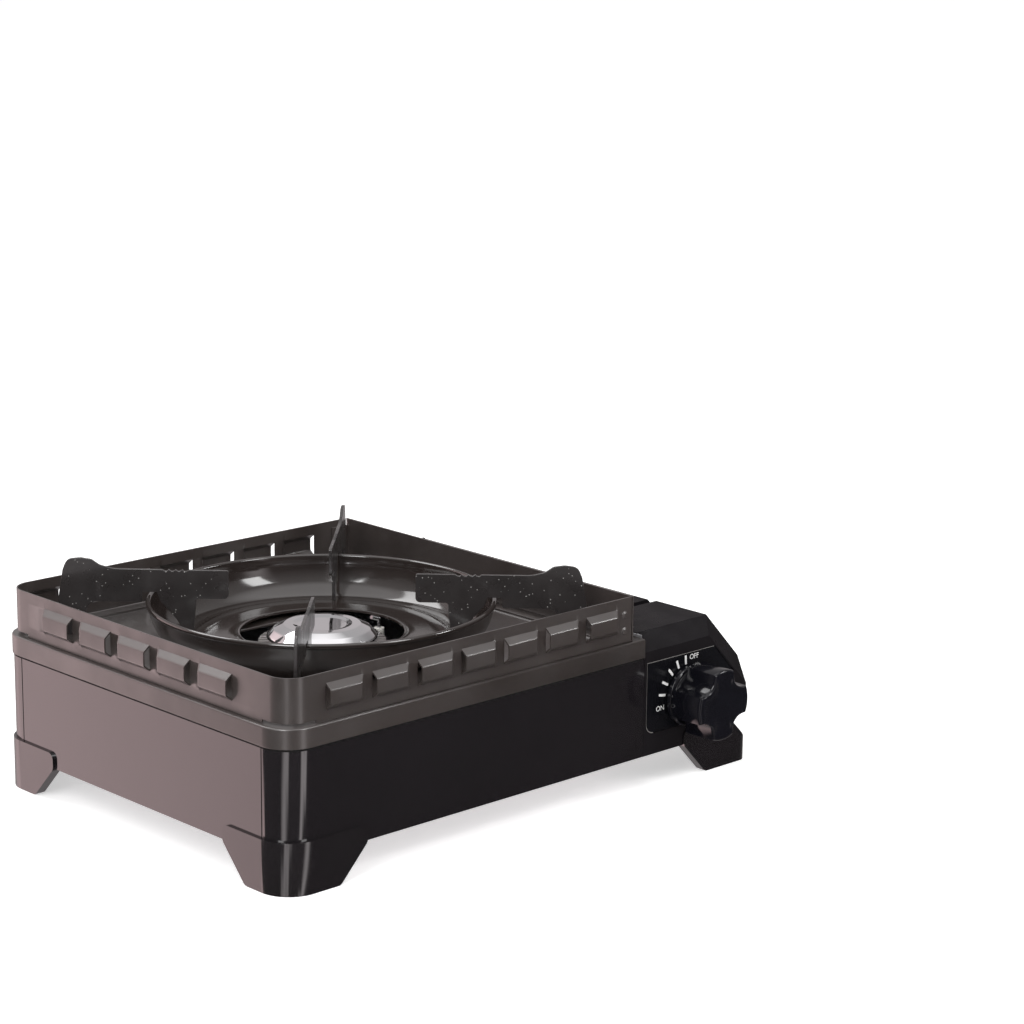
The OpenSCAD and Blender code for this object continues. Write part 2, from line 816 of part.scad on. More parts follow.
module burner_bracket() {
    color([0.6, 0.6, 0.62]) translate([burner_x, burner_y, 0]) for (a = [0, 90]) rotate(a + tube_a + 45) union() {
        lift = a / 90 * sheet;
        translate([-30, -7, bowl_z0 - 2 * sheet + lift]) cube([60, 14, sheet]);
        for (s = [-30, 30 - sheet]) {
            translate([s, -7, floor_z]) cube([sheet, 14, bowl_z0 - 2 * sheet + lift - floor_z + 0.1]);
            translate([s < 0 ? s - 10 : s, -7, floor_z]) cube([10 + sheet, 14, sheet]);
        }
    }
}

module heat_panel() {
    x0 = burner_x + head_r - 2;
    x1 = canister_x - canister_r - 0.6;
    w = 24;
    color([0.78, 0.79, 0.8]) translate([0, burner_y - w / 2, heat_z]) union() {
        translate([x0, 0, 0]) cube([x1 - x0, w, sheet]);
        translate([x0, 0, 0]) cube([sheet, w, bowl_z0 + 8 - heat_z]);
        translate([x1 - sheet, 0, 0]) cube([sheet, w, canister_z + 8 - heat_z]);
    }
}

electrode_x = burner_x + head_r + 5;

module electrode_insulator() {
    color([0.93, 0.92, 0.88]) translate([electrode_x, burner_y, 0]) difference() {
        union() {
            translate([0, 0, 62]) cylinder(r = 3, h = 22);
            translate([0, 0, 74 + fit]) cylinder(r = 4, h = 3);
        }
        translate([0, 0, 60]) cylinder(r = 1.1 + fit, h = 30);
    }
}

module electrode() {
    color([0.6, 0.58, 0.55]) union() {
        translate([electrode_x, burner_y, 58]) cylinder(r = 1.1, h = 31);
        translate([electrode_x, burner_y, 89]) sphere(1.1);
        bar([electrode_x, burner_y, 89], [electrode_x - 5.5, burner_y, 91], 1.1);
    }
}

igniter_y = bracket_y - 6;
lead_z = knob_z - 12;

module igniter_lead() {
    color([0.8, 0.8, 0.8]) pipe([
        [electrode_x, burner_y, 57.9], [electrode_x, burner_y, 50], [bay_x - 24, igniter_y + 50, lead_z],
        [bay_x - 4, igniter_y + 14, lead_z], [bay_x + 2.4, igniter_y + 9, lead_z],
        [bay_x + 2.4, igniter_y + 3, lead_z], [bay_x + 8, igniter_y, lead_z], [bay_x + 8, igniter_y, knob_z - 6.05]
    ], 1.2, $fn = 8);
}

plunger_gap = 0.3;
cam_slope = cam_rise * 180 / PI;
plunger_tip = knob_x - cam_r - cam_slope * cam_slope / (2 * cam_r) - plunger_gap;
plunger_travel = cam_rise * knob_turn;
igniter_x1 = plunger_tip - plunger_travel - 1;
igniter_x0 = bay_x + sheet + 1.2;

module piezo_igniter() {
    color([0.85, 0.83, 0.78]) difference() {
        translate([igniter_x0, igniter_y - 6, knob_z - 6]) cube([igniter_x1 - igniter_x0, 12, 12]);
        bar([igniter_x0 + 3, igniter_y, knob_z], [igniter_x1 + 1, igniter_y, knob_z], plunger_r + run_gap);
    }
}

module igniter_plunger() {
    color([0.2, 0.2, 0.2])
        bar([igniter_x0 + 3 + plunger_travel + 1, igniter_y, knob_z], [plunger_tip, igniter_y, knob_z], plunger_r);
}

// ---------------------------------------------------------------- lid

module at_lid_hinges() {
    translate([0, lid_y0 + 14, 0]) children();
    translate([0, lid_y1 - 14, 0]) mirror([0, 1, 0]) children();
}

module lid_hinge_lugs() {
    color([0.6, 0.6, 0.62]) at_lid_hinges() difference() {
        union() {
            y_cylinder(hinge_x, hinge_z, knuckle_r, 0, lug_l);
            translate([bay_x + sheet, 0, hinge_z - knuckle_r]) cube([hinge_x - bay_x - sheet, lug_l, knuckle_r - 0.3]);
        }
        y_cylinder(hinge_x, hinge_z, hinge_r + 0.02, -1, lug_l + 1);
    }
}

module lid_hinge_pin() {
    color("silver") y_cylinder(hinge_x, hinge_z, hinge_r, lid_y0 + 12, lid_y1 - 12);
}

module canister_lid() {
    band = 6;
    dip = 2;
    x0 = bay_x + 3.4;
    color([0.07, 0.065, 0.07]) difference() {
        union() {
            along_y(lid_y0 + band, lid_y1) bay_shell(lid_gap, lid_gap + lid_t, x0, lid_low);
            along_y(lid_y0 + band, lid_y0 + band + 1)
                bay_shell(lid_gap, lid_gap + lid_t + dip, hinge_x + 4, lid_low);
            along_y(lid_y0, lid_y0 + band + 1)
                bay_shell(lid_gap + dip, lid_gap + lid_t + dip, hinge_x + 4, lid_low);
            at_lid_hinges() y_cylinder(hinge_x, hinge_z, knuckle_r, lug_l + 0.3, lug_l + 0.3 + knuckle_l);
        }
        y_cylinder(hinge_x, hinge_z, hinge_r + run_gap, lid_y0, lid_y1);
        at_lid_hinges() translate([x0 - 1, -0.3, hinge_z - 4]) cube([hinge_x - x0 + 4.2, lug_l + 0.6, 10]);
        at_lid_hinges() translate([x0 - 1, -20, hinge_z - 4]) cube([hinge_x - x0 + 3.2, 20, 10]);
        translate([x0 - 1, lid_y0 + 14 + lug_l + knuckle_l + 0.3, hinge_z - 4])
            cube([hinge_x - x0 + 3.2, lid_y1 - lid_y0 - 28 - 2 * (lug_l + knuckle_l + 0.3), 10]);
    }
}

module lid_catch() {
    y = (lid_y0 + lid_y1) / 2;
    x1 = x_right - lid_gap - lid_t;
    color("silver") translate([x1 - 1.6, y - 9, lid_low - 2.4]) union() {
        translate([0.8, 0, 0]) cube([0.8 - fit, 18, 16]);
        translate([-0.4, 0, 0]) cube([1.6, 18, 1]);
    }
}

// ---------------------------------------------------------------- knob

knob_back = y_front - 0.5;
knob_face = y_front - knob_out;
base_t = 3.5;

module knob_outline() {
    notch = 9;
    difference() {
        circle(knob_r);
        for (a = [45 : 90 : 315]) rotate(a) translate([knob_notch_r + notch, 0]) circle(notch);
    }
}

module knob() {
    color([0.04, 0.04, 0.045]) difference() {
        union() {
            y_cylinder(knob_x, knob_z, knob_base_r, knob_back - base_t, knob_back);
            y_cylinder(knob_x, knob_z, knob_notch_r - 0.5, knob_back - base_t - 3, knob_back - 1);
            along_y(knob_face, knob_back - base_t - 2) translate([knob_x, knob_z]) knob_outline();
        }
        y_cylinder(knob_x, knob_z, spindle_r + fit, knob_face + 6, knob_back + 1);
    }
}

module valve_spindle() {
    color([0.75, 0.68, 0.45]) y_cylinder(knob_x, knob_z, spindle_r, knob_face + 6.5, regulator_y + 11);
}

cam_lead = 24;
cam_relief = 1.6;

// The direction at an angle in a drawing plane
function ray(a) = [cos(a), sin(a)];

module ignition_cam() {
    step = 3;
    color([0.9, 0.9, 0.88]) difference() {
        along_y(igniter_y - 2.5, igniter_y + 2.5) translate([knob_x, knob_z]) polygon(concat(
            [for (a = [-cam_lead : step : knob_turn + cam_lead]) (cam_r + cam_rise * a) * ray(180 - a)],
            [for (a = [knob_turn + cam_lead + step : 2 * step : 360 - cam_lead - step])
                (cam_r - cam_relief) * ray(180 - a)]
        ));
        y_cylinder(knob_x, knob_z, spindle_r + fit, igniter_y - 4, igniter_y + 4);
    }
}

// ---------------------------------------------------------------- drip pan and pot supports

bead_r = pan_r - pan_bead;
bead_z = pan_z - pan_bead;

// The bowl's wall is a quarter of an ellipse from the rim to the foot
function bowl(a, t) = [
    pan_foot_r + (bead_r - pan_foot_r - t) * cos(a),
    bead_z - (bead_z - dip_z - t) * sin(a)
];

module drip_pan() {
    step = 7.5;
    color([0.10, 0.08, 0.08]) translate([burner_x, burner_y, 0]) rotate_extrude($fn = 96)
        polygon(concat(
            [for (a = [150 : -30 : -60]) [bead_r, bead_z] + pan_bead * ray(a)],
            [for (a = [step : step : 90]) bowl(a, 0)],
            [
                [pan_foot_r - 5, dip_z], [pan_foot_r - 9, dip_z + 3], [pan_hole_r + 6, dip_z + 2],
                [pan_hole_r + 2, dip_z + 2], [pan_hole_r, dip_z + 4.5], [pan_hole_r + pan_t, dip_z + 4.8],
                [pan_hole_r + 2.6, dip_z + 2 + pan_t], [pan_hole_r + 6, dip_z + 2 + pan_t],
                [pan_foot_r - 9, dip_z + 3 + pan_t], [pan_foot_r - 4.6, dip_z + pan_t]
            ],
            [for (a = [90 : -step : step]) bowl(a, pan_t)]
        ));
}

leg_in = pan_foot_r - 7;
leg_out = support_out - leg_w;

// A pot support's outline: x is the distance from the burner's axis, y is the height
module support_outline() {
    low = support_z - 16;
    out = support_out;
    difference() {
        polygon([
            [support_in, support_z - 1.5], [support_in + 1.5, support_z], [leg_in + 3.4, support_z],
            [out - 28, support_z + 0.6], [out - 23, support_z + 1.6], [out - 19, hump_z - 2.6],
            [out - 15.5, hump_z - 0.8], [out - 12, hump_z], [out - 6.5, hump_z - 0.4],
            [out - 3.5, hump_z - 2.4], [out - 2, hump_z - 5.5],
            [out + 1, low], [out + 1.6, dip_z + 10.5], [out, dip_z], [leg_out + 1, dip_z],
            [leg_out, dip_z + 13.5], [leg_out - 2.5, pan_z - 6.5], [leg_out - 7, pan_z - 4.7],
            [pan_r + 4.4, pan_z - 4.7], [pan_r + 2.9, pan_z + 1], [pan_r - 4.6, pan_z + 1],
            [pan_r - 6.6, pan_z - 3.3], [pan_foot_r + 4, dip_z + 10], [pan_foot_r + 1, dip_z + 6.5],
            [pan_foot_r - 1.5, dip_z + pan_t + 0.3],
            [leg_in + 3, dip_z + pan_t + 0.6], [leg_in + 0.3, dip_z + pan_t + 2.8],
            [leg_in, low - 6], [leg_in - 2.5, low - 0.8], [leg_in - 4.5, low],
            [support_in + 2.5, low], [support_in, low + 2.5]
        ]);
        for (i = [0 : 3]) translate([leg_in + 5.5 + i * 3.6, support_z + 1]) circle(1.9, $fn = 24);
    }
}

module pot_support(a) {
    color([0.14, 0.14, 0.15]) translate([burner_x, burner_y, 0]) rotate(a)
        translate([0, support_t / 2, 0]) rotate([90, 0, 0]) linear_extrude(support_t) support_outline();
}

module pot_support_front() { pot_support(225); }
module pot_support_right() { pot_support(315); }
module pot_support_back() { pot_support(45); }
module pot_support_left() { pot_support(135); }

bottom_plate();
front_panel();
left_panel();
back_panel();
right_panel();
partition();
foot_front_left();
foot_back_left();
foot_front_right();
foot_back_right();
bottom_screws();
top_plate();
top_plate_screws();
wind_guard();
guard_right_wall();
guard_rivets();
front_housing();
control_plate();
regulator_bracket();
regulator();
safety_valve();
canister_seat();
seat_magnets();
canister_guide();
canister_cradle();
gas_pipe();
injector();
mixing_tube();
burner_bowl();
burner_head();
burner_cap();
burner_bracket();
heat_panel();
electrode_insulator();
electrode();
igniter_lead();
piezo_igniter();
lid_hinge_lugs();
lid_hinge_pin();
canister_lid();
lid_catch();
knob();
valve_spindle();
ignition_cam();
igniter_plunger();
drip_pan();
pot_support_front();
pot_support_right();
pot_support_back();
pot_support_left();
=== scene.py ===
"""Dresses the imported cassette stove: fine meshes, finishes, studio light and camera.

Lengths are metres in the part's frame: the front faces -Y, the left side -X, and the feet stand at Z 0.
"""

import json
import math

import bpy
import bmesh
from mathutils import Matrix, Vector


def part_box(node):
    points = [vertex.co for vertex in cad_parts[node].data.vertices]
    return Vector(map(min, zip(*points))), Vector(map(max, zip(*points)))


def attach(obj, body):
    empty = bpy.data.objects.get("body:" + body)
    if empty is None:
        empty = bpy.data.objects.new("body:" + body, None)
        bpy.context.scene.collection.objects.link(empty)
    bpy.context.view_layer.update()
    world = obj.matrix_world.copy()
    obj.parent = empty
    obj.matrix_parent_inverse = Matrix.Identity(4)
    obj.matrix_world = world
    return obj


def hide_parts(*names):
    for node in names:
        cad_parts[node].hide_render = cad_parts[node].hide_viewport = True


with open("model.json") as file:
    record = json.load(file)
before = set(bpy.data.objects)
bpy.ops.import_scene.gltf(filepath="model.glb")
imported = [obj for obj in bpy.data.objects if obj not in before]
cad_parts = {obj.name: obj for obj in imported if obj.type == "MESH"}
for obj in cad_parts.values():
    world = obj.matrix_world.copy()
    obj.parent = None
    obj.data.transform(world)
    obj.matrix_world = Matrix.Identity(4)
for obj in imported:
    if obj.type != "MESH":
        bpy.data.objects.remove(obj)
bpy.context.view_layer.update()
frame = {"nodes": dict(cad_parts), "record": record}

MM = 0.001
SHEET = 0.8 * MM


def in_mm(length):
    """A length in millimetres, to the micrometre, for outlines that are written in millimetres."""
    return round(length / MM, 3)


# ------------------------------------------------------------------ places, read from the frame

plate_low, plate_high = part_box("top_plate")
guard_low, guard_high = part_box("wind_guard")
pan_low, pan_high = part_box("drip_pan")
cap_low, cap_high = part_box("burner_cap")
knob_low, knob_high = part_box("knob")
dial_low, dial_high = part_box("control_plate")
support_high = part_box("pot_support_front")[1]

DECK_Z = plate_high.z
DIP_Z = DECK_Z - 1.5 * MM
LOUVRE_OUT = 4 * MM
GUARD_X0 = guard_low.x + LOUVRE_OUT
GUARD_X1 = guard_high.x
GUARD_Y0 = guard_low.y + LOUVRE_OUT
GUARD_Y1 = guard_high.y - LOUVRE_OUT
BURNER_X = (pan_low.x + pan_high.x) / 2
BURNER_Y = (pan_low.y + pan_high.y) / 2
PAN_R = (pan_high.x - pan_low.x) / 2
CAP_R = (cap_high.x - cap_low.x) / 2
KNOB_X = (knob_low.x + knob_high.x) / 2
KNOB_Z = (knob_low.z + knob_high.z) / 2
KNOB_R = (knob_high.x - knob_low.x) / 2
BODY_X0 = plate_low.x + SHEET
BODY_Y0 = plate_low.y + SHEET
BODY_Y1 = plate_high.y - SHEET


# ------------------------------------------------------------------ shader nodes

NOISE_LOW, NOISE_HIGH = 0.35, 0.65  # where most of a noise lies


def set_inputs(node, inputs):
    """Gives a node's inputs, by name or number, plain values or other nodes' outputs."""
    for key, value in inputs.items():
        if isinstance(value, bpy.types.NodeSocket):
            node.id_data.links.new(value, node.inputs[key])
        else:
            node.inputs[key].default_value = value


def add_node(tree, kind, inputs=None):
    node = tree.nodes.new("ShaderNode" + kind)
    set_inputs(node, inputs or {})
    return node


def math_of(tree, operation, *values):
    """The result of an operation on plain values or other nodes' outputs."""
    node = add_node(tree, "Math", dict(enumerate(values)))
    node.operation = operation
    return node.outputs["Value"]


def noise(tree, scale, detail=3.0, roughness=0.5):
    """A noise in the object's own coordinates, with its scale to the metre."""
    place = add_node(tree, "TexCoord").outputs["Object"]
    inputs = {"Vector": place, "Scale": scale, "Detail": detail, "Roughness": roughness}
    return add_node(tree, "TexNoise", inputs).outputs["Fac"]


def cells(tree, scale):
    """Cells in the object's own coordinates: the distance from a cell's middle, and its two random values."""
    place = add_node(tree, "TexCoord").outputs["Object"]
    pattern = add_node(tree, "TexVoronoi", {"Vector": place, "Scale": scale})
    split = add_node(tree, "SeparateColor", {"Color": pattern.outputs["Color"]})
    return pattern.outputs["Distance"], split.outputs["Red"], split.outputs["Green"]


def spread(tree, value, low, high, to_low, to_high):
    """Maps the span from low to high onto another one."""
    spans = {"From Min": low, "From Max": high, "To Min": to_low, "To Max": to_high}
    return add_node(tree, "MapRange", {"Value": value, **spans}).outputs["Result"]


def ramp(tree, value, stops):
    """A colour that follows a value through stops, each a place and a colour."""
    node = add_node(tree, "ValToRGB", {"Fac": value})
    elements = node.color_ramp.elements
    first, last = elements[0], elements[1]
    first.position, first.color = stops[0][0], (*stops[0][1], 1)
    last.position, last.color = stops[-1][0], (*stops[-1][1], 1)
    for at, colour in stops[1:-1]:
        elements.new(at).color = (*colour, 1)
    return node.outputs["Color"]


def mixed(tree, share, a, b):
    """A colour that goes from a to b as the share goes from 0 to 1."""
    return add_node(tree, "MixRGB", {"Fac": share, "Color1": a, "Color2": b}).outputs["Color"]


def shade(colour, k):
    """A colour k times as bright; that of a light may pass 1."""
    return tuple(x * k for x in colour)


def toned(tree, value, colour, least, most, low=NOISE_LOW, high=NOISE_HIGH):
    """A colour from least to most times as bright, as a value goes from low to high."""
    return ramp(tree, value, [(low, shade(colour, least)), (high, shade(colour, most))])


def patchy(tree, value, rough, least, most, low=NOISE_LOW, high=NOISE_HIGH):
    """A roughness from least to most times the given one, as a value goes from low to high."""
    return spread(tree, value, low, high, rough * least, rough * most)


# ------------------------------------------------------------------ finishes, by slot name

FINISHES = {}


def new_material(name):
    """Makes a material, keeps it in FINISHES, and gives its node tree and its shader."""
    material = bpy.data.materials.new(name)
    material.use_nodes = True
    FINISHES[name] = material
    return material.node_tree, material.node_tree.nodes["Principled BSDF"]


def finish(tree, shader, colour, rough, grain, grain_h):
    """Sets a shader's colour and roughness, with a surface grain of the given scale and height."""
    bump = add_node(tree, "Bump", {"Height": noise(tree, grain), "Distance": grain_h})
    set_inputs(shader, {"Base Color": colour, "Roughness": rough, "Normal": bump.outputs["Normal"]})


def plain_finish(
    name, colour, rough, metallic=0.0, ior=1.5, tone=0.12, tone_scale=30, grain=500, grain_h=0.01 * MM
):
    """A finish whose tone and gloss vary faintly; gives its shader."""
    tree, shader = new_material(name)
    set_inputs(shader, {"Metallic": metallic, "IOR": ior})
    tones = toned(tree, noise(tree, tone_scale), colour, least=1 - tone, most=1 + tone)
    gloss_scale = tone_scale * 2.7
    gloss = patchy(tree, noise(tree, gloss_scale, detail=5), rough, least=0.85, most=1.2)
    finish(tree, shader, tones, gloss, grain, grain_h)
    return shader


def gloss_enamel(name, colour, rough, ior, tone=0.08, coat=0.0):
    """Stove enamel or gloss paint with a long soft ripple, and a clear coat where that is above zero."""
    ripple = {"tone_scale": 18, "grain": 210, "grain_h": 0.008 * MM}
    shader = plain_finish(name, colour, rough, ior=ior, tone=tone, **ripple)
    set_inputs(shader, {"Coat Weight": coat, "Coat Roughness": 0.07})


def speckled_enamel(name, colour, speck, rough, ior, keep, coat):
    """Coated enamel with pale specks, one in each cell whose random value passes keep."""
    tree, shader = new_material(name)
    set_inputs(shader, {"IOR": ior, "Coat Weight": coat, "Coat Roughness": 0.12})
    distance, chance, _ = cells(tree, 850)
    speck_r = 0.26
    inside = math_of(tree, "LESS_THAN", distance, speck_r)
    chosen = math_of(tree, "GREATER_THAN", chance, keep)
    base = toned(tree, noise(tree, 40), colour, least=0.85, most=1.15)
    tones = mixed(tree, math_of(tree, "MULTIPLY", inside, chosen), base, (*speck, 1))
    gloss = patchy(tree, noise(tree, 90), rough, least=0.8, most=1.3)
    finish(tree, shader, tones, gloss, grain=330, grain_h=0.02 * MM)


def spangled_zinc(name, colour, rough):
    """Zinc-plated sheet with its faint crystals."""
    tree, shader = new_material(name)
    set_inputs(shader, {"Metallic": 1})
    _, red, green = cells(tree, 160)
    tones = toned(tree, green, colour, least=0.86, most=1.08, low=0.1, high=0.9)
    gloss = patchy(tree, red, rough, least=0.8, most=1.25, low=0, high=1)
    finish(tree, shader, tones, gloss, grain=700, grain_h=0.008 * MM)


def polished_chrome(name, colour, rough):
    """Chrome with faint wiping marks."""
    tree, shader = new_material(name)
    set_inputs(shader, {"Metallic": 1})
    tones = toned(tree, noise(tree, 25), colour, least=0.97, most=1)
    gloss = patchy(tree, noise(tree, 140, detail=8, roughness=0.7), rough, least=0.5, most=1.7)
    finish(tree, shader, tones, gloss, grain=60, grain_h=0.004 * MM)


gloss_enamel("guard_enamel", (0.045, 0.035, 0.032), 0.38, ior=2.1, coat=0.4)
gloss_enamel("body_paint", (0.0090, 0.0074, 0.0090), 0.09, ior=2.15)
gloss_enamel("foot_paint", (0.0095, 0.0078, 0.0092), 0.13, ior=2.1)
gloss_enamel("pan_enamel", (0.030, 0.023, 0.021), 0.10, ior=1.85, tone=0.12)
speckled_enamel(
    "support_enamel", (0.034, 0.030, 0.030), (0.42, 0.41, 0.40), rough=0.32, ior=1.5, keep=0.93, coat=0.4
)
plain_finish("bay_paint", (0.013, 0.0115, 0.013), 0.30, ior=1.07, grain=900, grain_h=0.02 * MM)
plain_finish("dial_face", (0.006, 0.006, 0.008), 0.14, grain=300, grain_h=0.003 * MM)
plain_finish("knob_plastic", (0.006, 0.006, 0.009), 0.12, grain=600, grain_h=0.004 * MM)
plain_finish("cam_plastic", (0.80, 0.79, 0.74), 0.45, tone=0.04, grain=700)
spangled_zinc("zinc_steel", (0.58, 0.59, 0.61), 0.34)
plain_finish("screw_steel", (0.62, 0.62, 0.64), 0.26, metallic=1, grain=900)
plain_finish("die_cast", (0.52, 0.53, 0.55), 0.48, metallic=1, grain=900, grain_h=0.03 * MM)
plain_finish("brass", (0.72, 0.52, 0.24), 0.28, metallic=1, grain=900)
plain_finish("copper_pipe", (0.70, 0.36, 0.22), 0.3, metallic=1, tone=0.2)
plain_finish("magnet", (0.2, 0.2, 0.21), 0.4, metallic=1, grain=900)
polished_chrome("chrome", (0.86, 0.86, 0.88), 0.05)
plain_finish("port_ring", (0.46, 0.44, 0.43), 0.3, metallic=1, tone=0.2, grain=900)
plain_finish("ceramic", (0.86, 0.84, 0.79), 0.16, tone=0.04)
plain_finish("lead_sleeve", (0.72, 0.71, 0.67), 0.5, tone=0.06)
# painted shadow: the black of the strip under the top plate's skirt
plain_finish("painted_shadow_black", (0.004, 0.004, 0.004), 0.8, grain=900)
# painted highlight: the pale grey of the strip along the dial panel's edges
plain_finish("painted_edge_highlight", (0.26, 0.25, 0.24), 0.4, tone=0.05)
plain_finish("dial_print", (0.95, 0.95, 0.94), 0.5, tone=0.02)


def dress(obj, finish_name):
    """Gives an object its finish."""
    obj.data.materials.clear()
    obj.data.materials.append(FINISHES[finish_name])


# ------------------------------------------------------------------ mesh tools


def add_object(name, data):
    obj = bpy.data.objects.new(name, data)
    bpy.context.scene.collection.objects.link(obj)
    return obj


def make_object(name, bm, sharp=35):
    """Turns a bmesh into an object with smooth faces and sharp edges over the given angle."""
    bmesh.ops.remove_doubles(bm, verts=bm.verts, dist=1e-7)
    bmesh.ops.recalc_face_normals(bm, faces=bm.faces)
    mesh = bpy.data.meshes.new(name)
    bm.to_mesh(mesh)
    bm.free()
    mesh.polygons.foreach_set("use_smooth", [True] * len(mesh.polygons))
    mesh.set_sharp_from_angle(angle=math.radians(sharp))
    return add_object(name, mesh)


def shown_mesh(obj):
    """An object's mesh with its modifiers applied."""
    bpy.context.view_layer.update()
    graph = bpy.context.evaluated_depsgraph_get()
    return bpy.data.meshes.new_from_object(obj.evaluated_get(graph))


def settle(obj):
    """Applies an object's modifiers to it."""
    mesh = shown_mesh(obj)
    obj.modifiers.clear()
    obj.data = mesh


def bevel(obj, width, segments, angle):
    """Rounds the edges that turn by more than the given angle."""
    edges = obj.modifiers.new("edges", "BEVEL")
    edges.width = width
    edges.segments = segments
    edges.limit_method = "ANGLE"
    edges.angle_limit = math.radians(angle)
    edges.harden_normals = True


def thicken(obj, thickness):
    """Makes an open sheet thick, on the side away from its normals."""
    sheet = obj.modifiers.new("sheet", "SOLIDIFY")
    sheet.thickness = thickness
    sheet.offset = -1
    sheet.use_even_offset = True


def face_out(obj):
    """Turns an open sheet's normals away from the ground under the burner."""
    ground = Vector((BURNER_X, BURNER_Y, 0))
    lean = sum((p.center - ground).dot(p.normal) * p.area for p in obj.data.polygons)
    if lean < 0:
        obj.data.flip_normals()


def arc(first, last, steps):
    """Angles in radians from first to last, which are in degrees."""
    return [math.radians(first + (last - first) * k / steps) for k in range(steps + 1)]


def polar(centre, r, a):
    """The point r from a centre at angle a."""
    return centre[0] + r * math.cos(a), centre[1] + r * math.sin(a)


def rounded(points, steps):
    """An outline with rounded corners, from points of two coordinates and a corner radius."""
    nearly_straight = math.radians(176)
    most_run = 0.49
    out = []
    for i, (x, y, r) in enumerate(points):
        here = Vector((x, y))
        before = Vector(points[i - 1][:2]) - here
        after = Vector(points[(i + 1) % len(points)][:2]) - here
        turn = before.angle(after)
        if r <= 0 or turn > nearly_straight:
            out.append(here)
            continue
        run = min(r / math.tan(turn / 2), before.length * most_run, after.length * most_run)
        a = here + before.normalized() * run
        b = here + after.normalized() * run
        for k in range(steps + 1):
            t = k / steps
            out.append(a * (1 - t) ** 2 + here * (2 * t * (1 - t)) + b * t**2)
    return out


def join_rings(bm, a, b, closed=True):
    """Fills between two rows of as many points; points that fall together make triangles."""
    for k in range(len(a) if closed else len(a) - 1):
        n = (k + 1) % len(a)
        corners = list(dict.fromkeys([a[k], a[n], b[n], b[k]]))
        if len(corners) > 2:
            bm.faces.new(corners)


def revolve(name, profile, centre, around, sharp, closed=True):
    """Turns a profile of (radius, height) points round an upright axis."""
    on_axis = 1e-6
    bm = bmesh.new()
    rings = []
    for r, z in profile:
        if r < on_axis:
            rings.append([bm.verts.new((*centre, z))] * around)
        else:
            rings.append([bm.verts.new((*polar(centre, r, a), z)) for a in arc(0, 360, around)[:-1]])
    for low, high in zip(rings, rings[1:]):
        join_rings(bm, low, high)
    if closed:
        join_rings(bm, rings[-1], rings[0])
    return make_object(name, bm, sharp)


def slab(name, outline, thickness):
    """A flat outline in X and Z, made thick along Y and centred on it."""
    bm = bmesh.new()
    near = [bm.verts.new((p[0], -thickness / 2, p[1])) for p in outline]
    far = [bm.verts.new((p[0], thickness / 2, p[1])) for p in outline]
    bm.faces.new(near)
    bm.faces.new(list(reversed(far)))
    join_rings(bm, near, far)
    return make_object(name, bm)


def smooth_min(a, b, k):
    """The lesser of two values, blended where they are less than k apart."""
    h = max(k - abs(a - b), 0) / k
    return min(a, b) - h * h * k / 4


# ------------------------------------------------------------------ wind guard

GUARD_R = 13 * MM
GUARD_LIFT = 0.35 * MM  # of its lower edge over the deck
GUARD_HEM = 2 * MM  # the last row's height, which holds the rim flat
SLIT_TOP = DECK_Z + 2 * MM
SLIT_RUN = 6 * MM  # how far a corner's slit goes on along each straight side
FRONT_RUN = GUARD_X1 - GUARD_X0 - GUARD_R
SIDE_RUN = GUARD_Y1 - GUARD_Y0 - 2 * GUARD_R
CORNER_RUN = math.pi / 2 * GUARD_R
CORNER_STEPS = 16
LEFT_START = FRONT_RUN + CORNER_RUN
BACK_START = LEFT_START + SIDE_RUN + CORNER_RUN
PATH_END = BACK_START + FRONT_RUN
CORNER_STARTS = (FRONT_RUN, LEFT_START + SIDE_RUN)
SLITS = [(start - SLIT_RUN, start + CORNER_RUN + SLIT_RUN) for start in CORNER_STARTS]

LONG_LOUVRES, SIDE_LOUVRES = 7, 5
LOUVRE_W, SIDE_LOUVRE_W = 24.5 * MM, 27 * MM
LOUVRE_START, LOUVRE_PITCH = 25.3 * MM, 30.2 * MM
SIDE_START, SIDE_PITCH = 43 * MM, 34.2 * MM
LOUVRE_H = 14 * MM
LOUVRE_Z = DECK_Z + 12.8 * MM
LOUVRE_CROWN = 0.5 * MM  # how much lower its face is at the long edges
LOUVRE_SOFT = 0.6 * MM
END_SLOPE, EDGE_SLOPE = 0.95, 1.25  # height over run, at the closed end and along the edges
MOUTH = 0.35 * MM  # from the open end to the next column
FINE = 0.3 * MM  # between columns or rows where a louvre turns
CUT = 1e-6  # between the two sides of an open end


def guard_path(s):
    """A place and outward direction on the guard's outer face, s metres along it from the front right end."""
    if s <= FRONT_RUN:
        return (GUARD_X1 - s, GUARD_Y0), (0, -1)
    s -= FRONT_RUN
    if s <= CORNER_RUN:
        a = -math.pi / 2 - s / GUARD_R
        return polar((GUARD_X0 + GUARD_R, GUARD_Y0 + GUARD_R), GUARD_R, a), polar((0, 0), 1, a)
    s -= CORNER_RUN
    if s <= SIDE_RUN:
        return (GUARD_X0, GUARD_Y0 + GUARD_R + s), (-1, 0)
    s -= SIDE_RUN
    if s <= CORNER_RUN:
        a = math.pi - s / GUARD_R
        return polar((GUARD_X0 + GUARD_R, GUARD_Y1 - GUARD_R), GUARD_R, a), polar((0, 0), 1, a)
    s -= CORNER_RUN
    return (GUARD_X0 + GUARD_R + s, GUARD_Y1), (0, 1)


def louvre_height(u, v, length):
    """How far a louvre stands out, u from its open end and v above its middle."""
    face = LOUVRE_OUT - LOUVRE_CROWN * (2 * v / LOUVRE_H) ** 2
    edges = (LOUVRE_H / 2 - abs(v)) * EDGE_SLOPE
    end = (length - u) * END_SLOPE
    return max(0.0, smooth_min(smooth_min(face, edges, LOUVRE_SOFT), end, LOUVRE_SOFT))


